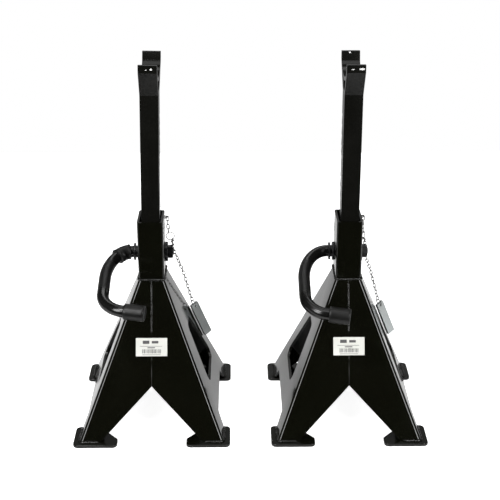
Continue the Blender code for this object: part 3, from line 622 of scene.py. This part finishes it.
def end_sleeve():
    """A moulded cap over the rod's end, with a rim round a shallow dish."""
    _, start, end = last_straight()
    along = (end - start).normalized()
    length, r = SLEEVE_LENGTH + SLEEVE_OVERLAP, SLEEVE_RADIUS
    mouth = [(0.0, 0.0009), (0.0004, 0.0003), (0.0012, 0.0)]
    rim = [(0.0016, 0.0), (0.0005, 0.0005), (0.0, 0.0015), (0.0, 0.0026), (0.0004, 0.0033), (0.0011, 0.0038)]
    profile = [(SLEEVE_OVERLAP, ROD_RADIUS - 0.0002), (0.0, ROD_RADIUS + 0.0004)]
    profile += [(ahead, r - inward) for ahead, inward in mouth]
    profile += [(length * i / 8, r) for i in range(1, 8)]
    profile += [(length - back, r - inward) for back, inward in rim]
    profile += [(length - 0.0012, 0.004), (length - 0.0011, 0)]
    return lathe("end_sleeve", profile, end - along * SLEEVE_LENGTH, along, 44)


def bend_sleeve():
    """A thick sleeve over the first bend, with lips at its ends and folds on the inside of the bend."""
    steps = 72
    path = first_bend(*BEND_SLEEVE, steps)
    length = sum((b - a).length for a, b in zip(path, path[1:]))
    inward = (handle_place(ROD_OUT + FIRST_BEND.x, FIRST_BEND.y) - path[0]).normalized()
    angles = [2 * pi * j / 36 for j in range(36)]

    def section(i):
        share = i / steps
        end = min(share, 1 - share) * length
        lip = SLEEVE_LIP_HEIGHT * max(0.0, 1 - abs(end - SLEEVE_LIP_PLACE) / SLEEVE_LIP_PLACE)
        taper = TAPER_DEPTH * max(0.0, 1 - end / TAPER_LENGTH)
        folds = FOLD_HEIGHT * max(0.0, sin(share * FOLD_TURNS * pi)) * sin(share * pi)
        outline = []
        for a in angles:
            r = SLEEVE_RADIUS - 0.0006 + lip - taper + folds * max(0.0, cos(a)) ** 2
            outline.append((r * cos(a), r * sin(a)))
        return outline

    return sweep("bend_sleeve", path, section, inward)


def washer(low, high, outer, steps=48):
    profile = [(low, BORE_RADIUS), (low, outer), (high, outer), (high, BORE_RADIUS)]
    blank = lathe("washer", profile, (0, PIVOT.y, PIVOT.z), (1, 0, 0), steps, closed=True)
    return bevel(blank, 0.0004, 2, 50)


def nut(low, high, across_flats):
    """A hexagon nut with chamfered corners."""
    flat, corner = across_flats / 2, across_flats / 2 / cos(pi / 6)
    cut, past = 0.0012, corner + 0.0004
    centre = (PIVOT.y, PIVOT.z)
    blank = prism("nut", circle(centre, corner, 6), "X", low, high)
    chamfer = [(low, 0), (low, flat), (low + cut, past), (high - cut, past), (high, flat), (high, 0)]
    boolean(blank, lathe("nut_chamfer", chamfer, (0, *centre), (1, 0, 0), 48), "INTERSECT")
    boolean(blank, prism("nut_bore", circle(centre, BORE_RADIUS, 32), "X", low - 0.01, high + 0.01))
    return bevel(blank, 0.0002, 2, 20)


# ---- chain and lock bar ----


def link(centre, along, across, half, seed):
    """A long link: two straights and two round ends, turned a little at random."""
    draw = random.Random(seed)
    straight = half - LINK_HALF_WIDTH
    outline = circle((straight, 0), LINK_HALF_WIDTH, 9, -pi / 2, pi)
    outline += circle((-straight, 0), LINK_HALF_WIDTH, 9, pi / 2, pi)
    across = (across - along * across.dot(along)).normalized()
    tilt = Matrix.Rotation(radians(draw.uniform(-LINK_TILT, LINK_TILT)), 3, along)
    across = tilt @ across
    points = [centre + along * u + across * v for u, v in outline]
    return sweep("link", points, round_section(LINK_WIRE, 8), along.cross(across), closed=True)


def smooth_route(points, steps=12):
    """A smooth curve through the points."""
    ends = [points[0] * 2 - points[1], *points, points[-1] * 2 - points[-2]]
    found = []
    for a, b, c, d in zip(ends, ends[1:], ends[2:], ends[3:]):
        for i in range(steps):
            t = i / steps
            curve = 2 * b + (c - a) * t
            curve += (2 * a - 5 * b + 4 * c - d) * t**2
            curve += (3 * b - a - 3 * c + d) * t**3
            found.append(0.5 * curve)
    return [*found, points[-1]]


def along_route(route, distance):
    """The point that far along a route, or past its end in a straight line."""
    for start, end in zip(route, route[1:]):
        step = (end - start).length
        if distance <= step:
            return start.lerp(end, distance / step)
        distance -= step
    return route[-1] + (route[-1] - route[-2]).normalized() * distance


def chain(name, points, first_across, last_across, even=False):
    """Links along a route, each turned a quarter from the one before and hooked in it."""
    route = smooth_route(points)
    length = sum((b - a).length for a, b in zip(route, route[1:]))
    extra = 2 * LINK_WIRE - LINK_SLACK
    odd = 0 if even else 1
    count = 2 * round(((length - extra) / LINK_PITCH - odd) / 2) + odd
    pitch = (length - extra) / count
    half = (pitch + extra) / 2
    links = []
    for number in range(count):
        middle = half + number * pitch
        head, tail = along_route(route, middle - half), along_route(route, middle + half)
        along = (tail - head).normalized()
        across = first_across.lerp(last_across, number / (count - 1))
        if number % 2:
            across = along.cross(across)
        seed = number if 0 < number < count - 1 else 0
        links.append(link((head + tail) / 2, along, across, half, seed))
    return joined(name, links)


def ring(centre, axis_u, axis_v, radius, wire):
    points = [centre + axis_u * u + axis_v * v for u, v in circle((0, 0), radius, 48)]
    return sweep("ring", points, round_section(wire, 10), axis_u.cross(axis_v), closed=True)


def bar_frame():
    """The lock bar's own directions: down it, across it and through it. It lies along the side panel."""
    down = Vector((slope(0), BAR_DRIFT, -1)).normalized()
    flat = Vector((cos(BAR_TWIST), sin(BAR_TWIST), 0))
    across = (flat - down * flat.dot(down)).normalized()
    return down, across, down.cross(across)


def bar_ring_top():
    down, _, _ = bar_frame()
    return BAR_TOP + down * (BAR_HOLE_DEPTH - 2 * BAR_RING_RADIUS)


def lock_bar():
    down, across, through = bar_frame()
    half = BAR_WIDTH / 2
    outline = rounded([(0, -half), (BAR_LENGTH, -half), (BAR_LENGTH, half), (0, half)], 0.0012, 5)
    obj = prism("lock_bar", outline, "Z", -BAR_THICKNESS / 2, BAR_THICKNESS / 2)
    boolean(obj, prism("bar_hole", circle((BAR_HOLE_DEPTH, 0), BAR_HOLE, 28), "Z", -0.01, 0.01))
    turn = Matrix((down, across, through)).transposed().to_4x4()
    obj.data.transform(Matrix.Translation(BAR_TOP) @ turn)
    return bevel(obj, 0.0004, 3)


def bar_ring():
    down, _, through = bar_frame()
    centre = BAR_TOP + down * (BAR_HOLE_DEPTH - BAR_RING_RADIUS)
    return ring(centre, down, through, BAR_RING_RADIUS, RING_WIRE)


def chain_anchor():
    """A wire staple with its two ends in the collar's wall."""
    wall, bend, middle = BASE_TOP.x - 0.0003, STAPLE_BEND, ANCHOR.x - STAPLE_BEND
    front, rear = ANCHOR.y - STAPLE_HALF, ANCHOR.y + STAPLE_HALF
    outline = [(wall, front), *circle((middle, front + bend), bend, 8, -pi / 2, pi / 2)]
    outline += [*circle((middle, rear - bend), bend, 8, 0, pi / 2), (wall, rear)]
    path = [Vector((x, y, ANCHOR.z)) for x, y in outline]
    return sweep("chain_anchor", path, round_section(STAPLE_WIRE, 12), (0, 0, 1))


def ring_axes(prefix):
    """The directions out and up in the middle ring's plane."""
    return Vector((cos(RING_TURN[prefix]), sin(RING_TURN[prefix]), 0)), Vector((0, 0, 1))


def chain_ring(prefix):
    return ring(RING_CENTRE[prefix], *ring_axes(prefix), RING_RADIUS, RING_WIRE)


def ring_point(prefix, turn):
    """A point on the middle ring's wire, and the wire's direction there."""
    outward, up = ring_axes(prefix)
    place = RING_CENTRE[prefix] + (outward * cos(turn) + up * sin(turn)) * RING_RADIUS
    return place, outward * sin(turn) - up * cos(turn)


def upper_chain(prefix):
    """From the staple down to the middle ring."""
    top = ANCHOR + Vector((0, 0, STAPLE_REACH))
    bottom, wire = ring_point(prefix, UPPER_HOLD)
    bottom += (bottom - ANCHOR).normalized() * RING_REACH
    return chain("upper_chain", [top, top.lerp(bottom, 0.5), bottom], Vector((1, 0, 0)), wire, even=True)


def lower_chain(prefix):
    """From the middle ring, over its bends, down to the lock bar's ring."""
    bends = [Vector(bend) for bend in CHAIN_BENDS[prefix]]
    (start, wire), end = ring_point(prefix, LOWER_HOLD), bar_ring_top()
    across = (start - bends[0]).cross(wire).normalized()
    start += (start - bends[0]).normalized() * RING_REACH
    end += (end - bends[-1]).normalized() * RING_REACH
    route = [start, *bends, bends[-1].lerp(end, 0.55), end]
    return chain("lower_chain", route, across, bar_frame()[1])


# ---- materials ----


def node(tree, kind, inputs=None, **settings):
    """A shader node. Each input is a plain value or another node's output."""
    made_node = tree.nodes.new("ShaderNode" + kind)
    for name, value in settings.items():
        setattr(made_node, name, value)
    for key, value in (inputs or {}).items():
        socket = made_node.inputs[key]
        if isinstance(value, bpy.types.NodeSocket):
            tree.links.new(value, socket)
        else:
            socket.default_value = value
    return made_node


def start_material(name, colour, roughness, metallic=0.0, ior=1.5):
    """A plain material, with the coordinates that its textures use."""
    material = bpy.data.materials.new(name)
    material.use_nodes = True
    tree = material.node_tree
    shader = tree.nodes["Principled BSDF"]
    shader.inputs["Base Color"].default_value = (*colour, 1)
    shader.inputs["Roughness"].default_value = roughness
    shader.inputs["Metallic"].default_value = metallic
    shader.inputs["IOR"].default_value = ior
    coords = node(tree, "TexCoord").outputs["Object"]
    return material, tree, shader, coords


def noise_of(tree, coords, scale, detail=2.0, roughness=0.5):
    inputs = {"Vector": coords, "Scale": scale, "Detail": detail, "Roughness": roughness}
    return node(tree, "TexNoise", inputs).outputs["Fac"]


def ranged(tree, value, low, high, to_low, to_high):
    """A value's share of low to high, spread over to_low to to_high and held at its ends."""
    inputs = {"Value": value, "From Min": low, "From Max": high, "To Min": to_low, "To Max": to_high}
    return node(tree, "MapRange", inputs).outputs["Result"]


def combined(tree, operation, *values):
    return node(tree, "Math", dict(enumerate(values)), operation=operation).outputs[0]


def mixed(tree, factor, first, second):
    """A blend of two colours."""
    found = node(tree, "Mix", data_type="RGBA")
    for socket, value in ((found.inputs[0], factor), (found.inputs[6], first), (found.inputs[7], second)):
        if isinstance(value, bpy.types.NodeSocket):
            tree.links.new(value, socket)
        else:
            socket.default_value = value if isinstance(value, (int, float)) else (*value, 1)
    return found.outputs[2]


def bump(tree, height, strength, distance, normal=None):
    inputs = {"Height": height, "Strength": strength, "Distance": distance}
    if normal is not None:
        inputs["Normal"] = normal
    return node(tree, "Bump", inputs).outputs["Normal"]


def painted(name, colour, dust, roughness, peel, grain=0.0, ior=1.45):
    """Black coating: cloudy gloss, orange peel, fine specks of dust and, on castings, a sandy grain."""
    material, tree, shader, coords = start_material(name, colour, roughness[0], ior=ior)
    cloud = noise_of(tree, coords, 22, 3)
    specks = noise_of(tree, coords, 1900, 1)
    speck = ranged(tree, specks, 0.70, 0.80, 0.0, 1.0)
    rough = ranged(tree, cloud, 0.35, 0.65, *roughness)
    dusty = combined(tree, "ADD", rough, combined(tree, "MULTIPLY", speck, 0.12))
    tree.links.new(dusty, shader.inputs["Roughness"])
    tint = mixed(tree, cloud, colour, [c * 1.5 for c in colour])
    dusted = mixed(tree, combined(tree, "MULTIPLY", speck, 0.5), tint, dust)
    tree.links.new(dusted, shader.inputs["Base Color"])
    normal = bump(tree, noise_of(tree, coords, 330, 2), peel, 0.00035)
    if grain:
        normal = bump(tree, noise_of(tree, coords, 1300, 3, 0.65), grain, 0.0003, normal)
    tree.links.new(normal, shader.inputs["Normal"])
    return material, tree, shader, coords, normal


def make_materials():
    found = {}
    black, dust = (0.0022, 0.0023, 0.0012), (0.020, 0.020, 0.019)
    found["black_paint"] = painted("gloss_black_coat", black, dust, (0.07, 0.12), 0.06)[0]
    found["weld_paint"] = painted("coated_weld", black, dust, (0.09, 0.16), 0.9, 0.5)[0]
    found["black_steel"] = painted("black_oxide", (0.005, 0.005, 0.0052), dust, (0.22, 0.34), 0.05, 0.10)[0]

    cast, grip = (0.0034, 0.0034, 0.0028), (0.0032, 0.0032, 0.0030)
    material, tree, shader, coords, _ = painted("cast_black_coat", cast, dust, (0.17, 0.26), 0.16, 0.14, 1.34)
    chips(tree, shader, coords)
    found["cast_paint"] = material

    material, tree, shader, coords, normal = painted("handle_coat", grip, dust, (0.14, 0.21), 0.08)
    hatch(tree, shader, coords, normal)
    found["handle_paint"] = material

    material, tree, shader, coords = start_material("black_rubber", (0.0052, 0.0052, 0.0048), 0.36, ior=1.36)
    cloud = noise_of(tree, coords, 40, 3)
    tree.links.new(ranged(tree, cloud, 0.35, 0.65, 0.30, 0.42), shader.inputs["Roughness"])
    tree.links.new(bump(tree, noise_of(tree, coords, 1500, 2), 0.10, 0.0002), shader.inputs["Normal"])
    found["rubber"] = material

    material, tree, shader, coords = start_material("blue_zinc", (0.42, 0.47, 0.48), 0.34, 1.0)
    cloud = noise_of(tree, coords, 55, 4, 0.6)
    stretch = node(tree, "Mapping", {"Vector": coords, "Scale": (1.0, 1.0, 0.05)}).outputs[0]
    streak = noise_of(tree, stretch, 2600, 2)
    tree.links.new(mixed(tree, cloud, (0.46, 0.50, 0.505), (0.62, 0.64, 0.63)), shader.inputs["Base Color"])
    tree.links.new(ranged(tree, cloud, 0.3, 0.7, 0.30, 0.44), shader.inputs["Roughness"])
    tree.links.new(bump(tree, streak, 0.10, 0.0001), shader.inputs["Normal"])
    found["zinc"] = material

    material, tree, shader, coords = start_material("bright_plated_steel", (0.30, 0.30, 0.29), 0.24, 1.0)
    cloud = noise_of(tree, coords, 300, 3)
    tree.links.new(mixed(tree, cloud, (0.16, 0.16, 0.155), (0.38, 0.38, 0.37)), shader.inputs["Base Color"])
    tree.links.new(ranged(tree, cloud, 0.3, 0.7, 0.18, 0.34), shader.inputs["Roughness"])
    found["bright_steel"] = material

    material, tree, shader, coords = start_material("sticker_paper", (0.80, 0.80, 0.78), 0.45)
    paper = mixed(tree, noise_of(tree, coords, 900, 3), (0.66, 0.665, 0.62), (0.72, 0.725, 0.68))
    tree.links.new(paper, shader.inputs["Base Color"])
    tree.links.new(bump(tree, noise_of(tree, coords, 700, 2), 0.05, 0.0001), shader.inputs["Normal"])
    found["label"] = material

    material, tree, shader, coords = start_material("sticker_ink", (0.06, 0.06, 0.06), 0.5)
    printed = mixed(tree, noise_of(tree, coords, 3000, 1), (0.03, 0.03, 0.03), (0.16, 0.16, 0.16))
    tree.links.new(printed, shader.inputs["Base Color"])
    found["ink"] = material
    return found


def chips(tree, shader, coords):
    """Bare spots on the saddles' lips, where the coating has flaked. Each has a place and a size."""
    front, lean = -SADDLE_REACH, COLUMN_LEAN["left"] * (SADDLE_TOP - LEAN_HEIGHT)
    spots = [
        ((STAND_X["left"] + lean + 0.0050, front, 0.5884), (0.0018, 0.0030, 0.0014)),
        ((STAND_X["left"] + lean - 0.0025, front, 0.5878), (0.0014, 0.0030, 0.0006)),
        ((STAND_X["right"] + 0.0082, front, 0.5885), (0.0036, 0.0030, 0.0015)),
        ((STAND_X["right"] - 0.0050, front, 0.5880), (0.0022, 0.0030, 0.0006)),
        ((STAND_X["right"] - 0.0015, SADDLE_REACH - SADDLE_LIP, 0.5925), (0.0016, 0.0030, 0.0012)),
    ]
    ragged = node(tree, "TexNoise", {"Vector": coords, "Scale": 700, "Detail": 3.0}).outputs["Color"]
    total = 0.0
    for centre, size in spots:
        offset = node(tree, "VectorMath", {0: coords, 1: centre}, operation="SUBTRACT").outputs[0]
        inverse = [1 / s for s in size]
        scaled = node(tree, "VectorMath", {0: offset, 1: inverse}, operation="MULTIPLY").outputs[0]
        distance = node(tree, "VectorMath", {0: scaled}, operation="LENGTH").outputs["Value"]
        jagged = combined(tree, "MULTIPLY", combined(tree, "SUBTRACT", ragged, 0.5), 1.6)
        uneven = combined(tree, "ADD", distance, jagged)
        total = combined(tree, "MAXIMUM", total, ranged(tree, uneven, 0.95, 1.05, 1.0, 0.0))
    before = shader.inputs["Base Color"].links[0].from_socket
    tree.links.new(mixed(tree, total, before, (0.70, 0.70, 0.69)), shader.inputs["Base Color"])


def hatch(tree, shader, coords, normal):
    """A fine moulded hatch on the handle's grip, between its two bends."""
    depth = node(tree, "SeparateXYZ", {0: coords}).outputs["Y"]
    near = ranged(tree, depth, -0.020, -0.012, 1.0, 0.0)
    far = ranged(tree, depth, -0.088, -0.078, 0.0, 1.0)
    mask = combined(tree, "MULTIPLY", near, far)
    waves = []
    for turn in (38, -38):
        slanted = node(tree, "Mapping", {"Vector": coords, "Rotation": (0, 0, radians(turn))}).outputs[0]
        inputs = {"Vector": slanted, "Scale": 120.0}
        found = node(tree, "TexWave", inputs, wave_type="BANDS", bands_direction="X")
        waves.append(found.outputs["Fac"])
    height = combined(tree, "MULTIPLY", combined(tree, "MAXIMUM", *waves), mask)
    tree.links.new(bump(tree, height, 0.35, 0.0004, normal), shader.inputs["Normal"])
    before = shader.inputs["Roughness"].links[0].from_socket
    rougher = combined(tree, "ADD", before, combined(tree, "MULTIPLY", mask, 0.22))
    tree.links.new(rougher, shader.inputs["Roughness"])


# ---- assembly ----


def refined(name, width):
    """A bevelled copy of a small CAD solid of the left stand, moved to the Z axis."""
    bm = bmesh.new()
    bm.from_mesh(frame["nodes"][name].data)
    bmesh.ops.translate(bm, vec=(-STAND_X["left"], 0, 0), verts=bm.verts)
    bmesh.ops.remove_doubles(bm, verts=bm.verts, dist=1e-6)
    bmesh.ops.dissolve_limit(bm, angle_limit=radians(1), verts=bm.verts, edges=bm.edges)
    return bevel(new_object(name, bm), width)


MATERIALS = make_materials()


def keep(prefix, name, shape, body, slot, material=None, replaced=True):
    """Moves a finished shape to its stand, gives it its finish and lets it ride on its body."""
    obj = made(shape)
    obj.data.transform(Matrix.Translation((STAND_X[prefix], 0, 0)))
    obj.name = f"{prefix}_{name}_finish"
    obj.data.materials.clear()
    obj.data.materials.append(MATERIALS[material or slot])
    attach(obj, f"{prefix}_{body}")
    if replaced:
        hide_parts(f"{prefix}_{name}")


def copy_of(obj):
    twin = obj.copy()
    twin.data = obj.data.copy()
    scene.collection.objects.link(twin)
    return twin


def stand_pieces():
    """What both stands have alike: name, shape, body and slot, then any material of its own and whether
    it stands for a CAD node."""
    pieces = []
    for word, side in (("left", -1), ("right", 1)):
        pieces.append((f"base_half_{word}", base_half(side), "base", "black_paint"))
        for end, side_y in (("front", -1), ("rear", 1)):
            pieces.append((f"foot_{end}_{word}", foot(side, side_y), "base", "black_paint"))
    pieces += [
        ("collar", collar(), "base", "black_paint"),
        ("chain_anchor", chain_anchor(), "base", "black_steel"),
        ("label", label(), "base", "label"),
        ("label_print", label_print(), "base", "label", "ink", False),
        ("ratchet_column", column(), "column", "cast_paint"),
        ("stop_pin", stop_pin(), "column", "bright_steel"),
        ("handle", handle(), "handle", "black_paint", "handle_paint"),
        ("pivot_shaft", shaft(), "handle", "black_steel", "black_steel", False),
        ("pawl", pawl(), "handle", "black_steel"),
        ("pawl_pin", refined("left_pawl_pin", 0.0003), "handle", "bright_steel"),
        ("handle_end_sleeve", end_sleeve(), "handle", "rubber"),
        ("hub_flange", washer(*FLANGE), "handle", "black_steel"),
        ("hub_spacer", washer(*SPACER, 32), "handle", "black_steel"),
        ("hub_washer", washer(*HUB_WASHER), "handle", "black_steel"),
        ("pivot_washer", washer(*PIVOT_WASHER), "handle", "black_steel"),
        ("pivot_nut", nut(*PIVOT_NUT), "handle", "black_steel"),
        ("lock_bar", lock_bar(), "lock_bar", "zinc"),
        ("lock_bar_ring", bar_ring(), "lock_bar", "bright_steel"),
    ]
    return pieces


def add_alike():
    """The shared shapes, copied to each stand. Its column leans and its handle drops as its own do."""
    for name, shape, *rest in stand_pieces():
        for prefix in STAND_X:
            twin = copy_of(shape)
            if rest[0] == "column":
                twin = turned(twin, (0, 0, LEAN_HEIGHT), "Y", COLUMN_LEAN[prefix])
            elif name in ("handle", "handle_end_sleeve"):
                twin = turned(twin, PIVOT, "X", HANDLE_DROP[prefix])
            keep(prefix, name, twin, *rest)
        bpy.data.objects.remove(shape, do_unlink=True)


def add_own():
    """The left handle's sleeve and each stand's chains, which follow that stand alone."""
    sleeve = turned(bend_sleeve(), PIVOT, "X", HANDLE_DROP["left"])
    keep("left", "handle_bend_sleeve", sleeve, "handle", "rubber")
    makers = {"upper_chain": upper_chain, "chain_ring": chain_ring, "lower_chain": lower_chain}
    for prefix in STAND_X:
        for name, make in makers.items():
            keep(prefix, name, make(prefix), "chain", "bright_steel")


def add_welds():
    """Beads with ripples of their own on each stand."""
    for number, prefix in enumerate(STAND_X):
        seed = 10 * number
        for end, (sign, top, bottom) in SEAM_WELDS.items():
            keep(prefix, f"seam_weld_{end}", seam_weld(sign, top, bottom, seed + sign), "base", "weld_paint")
            keep(prefix, f"seam_fill_{end}", seam_fill(sign, bottom), "base", "black_paint", None, False)
        keep(prefix, "collar_weld", collar_weld(seed + 2), "base", "weld_paint")
        for word, side in (("left", -1), ("right", 1)):
            for end, side_y in (("front", -1), ("rear", 1)):
                shape = foot_weld(side, side_y, seed + 5 + side + 2 * side_y)
                keep(prefix, f"foot_weld_{end}_{word}", shape, "base", "weld_paint", None, False)


# ---- studio ----


def floor():
    """A white sheet under the stands, open in front of them and far behind, where gloss sees the room."""
    bm = bmesh.new()
    wide, front, rear = FLOOR_SIDE, FLOOR_FRONT, FLOOR_REAR
    corners = [(-wide, front), (wide, front), (wide, rear), (-wide, rear)]
    bm.faces.new([bm.verts.new((x, y, 0)) for x, y in corners])
    obj = new_object("floor", bm)
    material, tree, shader, _ = start_material("white_floor", (0.9, 0.9, 0.9), 0.9)
    shader.inputs["Specular IOR Level"].default_value = 0.0
    shader.inputs["Emission Color"].default_value = (1, 1, 1, 1)
    seen = node(tree, "LightPath").outputs["Is Camera Ray"]
    tree.links.new(combined(tree, "MULTIPLY", seen, FLOOR_GLOW), shader.inputs["Emission Strength"])
    obj.data.materials.append(material)


def light(name, place, target, size, power):
    data = bpy.data.lights.new(name, "AREA")
    data.shape, data.size, data.size_y = "RECTANGLE", *size
    data.energy = power
    obj = bpy.data.objects.new(name, data)
    scene.collection.objects.link(obj)
    obj.location = place
    obj.rotation_euler = (Vector(target) - Vector(place)).to_track_quat("-Z", "Y").to_euler()
    obj.visible_camera = False
    return obj


def world():
    """White all round to the eye. Gloss reflects a dark room, with a backdrop low behind and dim sides."""
    found = bpy.data.worlds.new("studio")
    scene.world = found
    found.use_nodes = True
    tree = found.node_tree
    tree.nodes.clear()
    direction = node(tree, "TexCoord").outputs["Generated"]
    parts = node(tree, "SeparateXYZ", {0: direction}).outputs
    behind = ranged(tree, parts["Y"], 0.62, 0.90, 0.0, 1.0)
    low = ranged(tree, parts["Z"], 0.42, 0.62, 1.0, 0.0)
    backdrop = combined(tree, "MULTIPLY", combined(tree, "MULTIPLY", behind, low), 0.36)
    beside = ranged(tree, combined(tree, "ABSOLUTE", parts["X"]), 0.50, 0.90, 0.014, 0.12)
    strength = combined(tree, "ADD", backdrop, beside)
    room = node(tree, "Background", {"Color": (1, 1, 1, 1), "Strength": strength})
    white = node(tree, "Background", {"Color": (1, 1, 1, 1), "Strength": 1.0})
    seen = node(tree, "LightPath").outputs["Is Camera Ray"]
    both = node(tree, "MixShader", {0: seen, 1: room.outputs[0], 2: white.outputs[0]})
    out = node(tree, "OutputWorld")
    tree.links.new(both.outputs[0], out.inputs["Surface"])


def studio():
    """The floor, the world and the lamps: one lights only what is matt, and one shows only in gloss."""
    floor()
    world()
    lamps = {name: light(name, *rest) for name, *rest in LIGHTS}
    lamps["overhead"].visible_glossy = False
    lamps["top_gloss"].visible_diffuse = False


def camera():
    data = bpy.data.cameras.new("camera")
    data.lens, data.sensor_width = LENS, SENSOR
    obj = bpy.data.objects.new("camera", data)
    scene.collection.objects.link(obj)
    obj.location = CAMERA_PLACE
    obj.rotation_euler = (pi / 2 - CAMERA_DOWN, 0, -CAMERA_TURN)
    scene.camera = obj


scene.view_settings.view_transform = "Standard"
camera()
studio()
add_alike()
add_own()
add_welds()
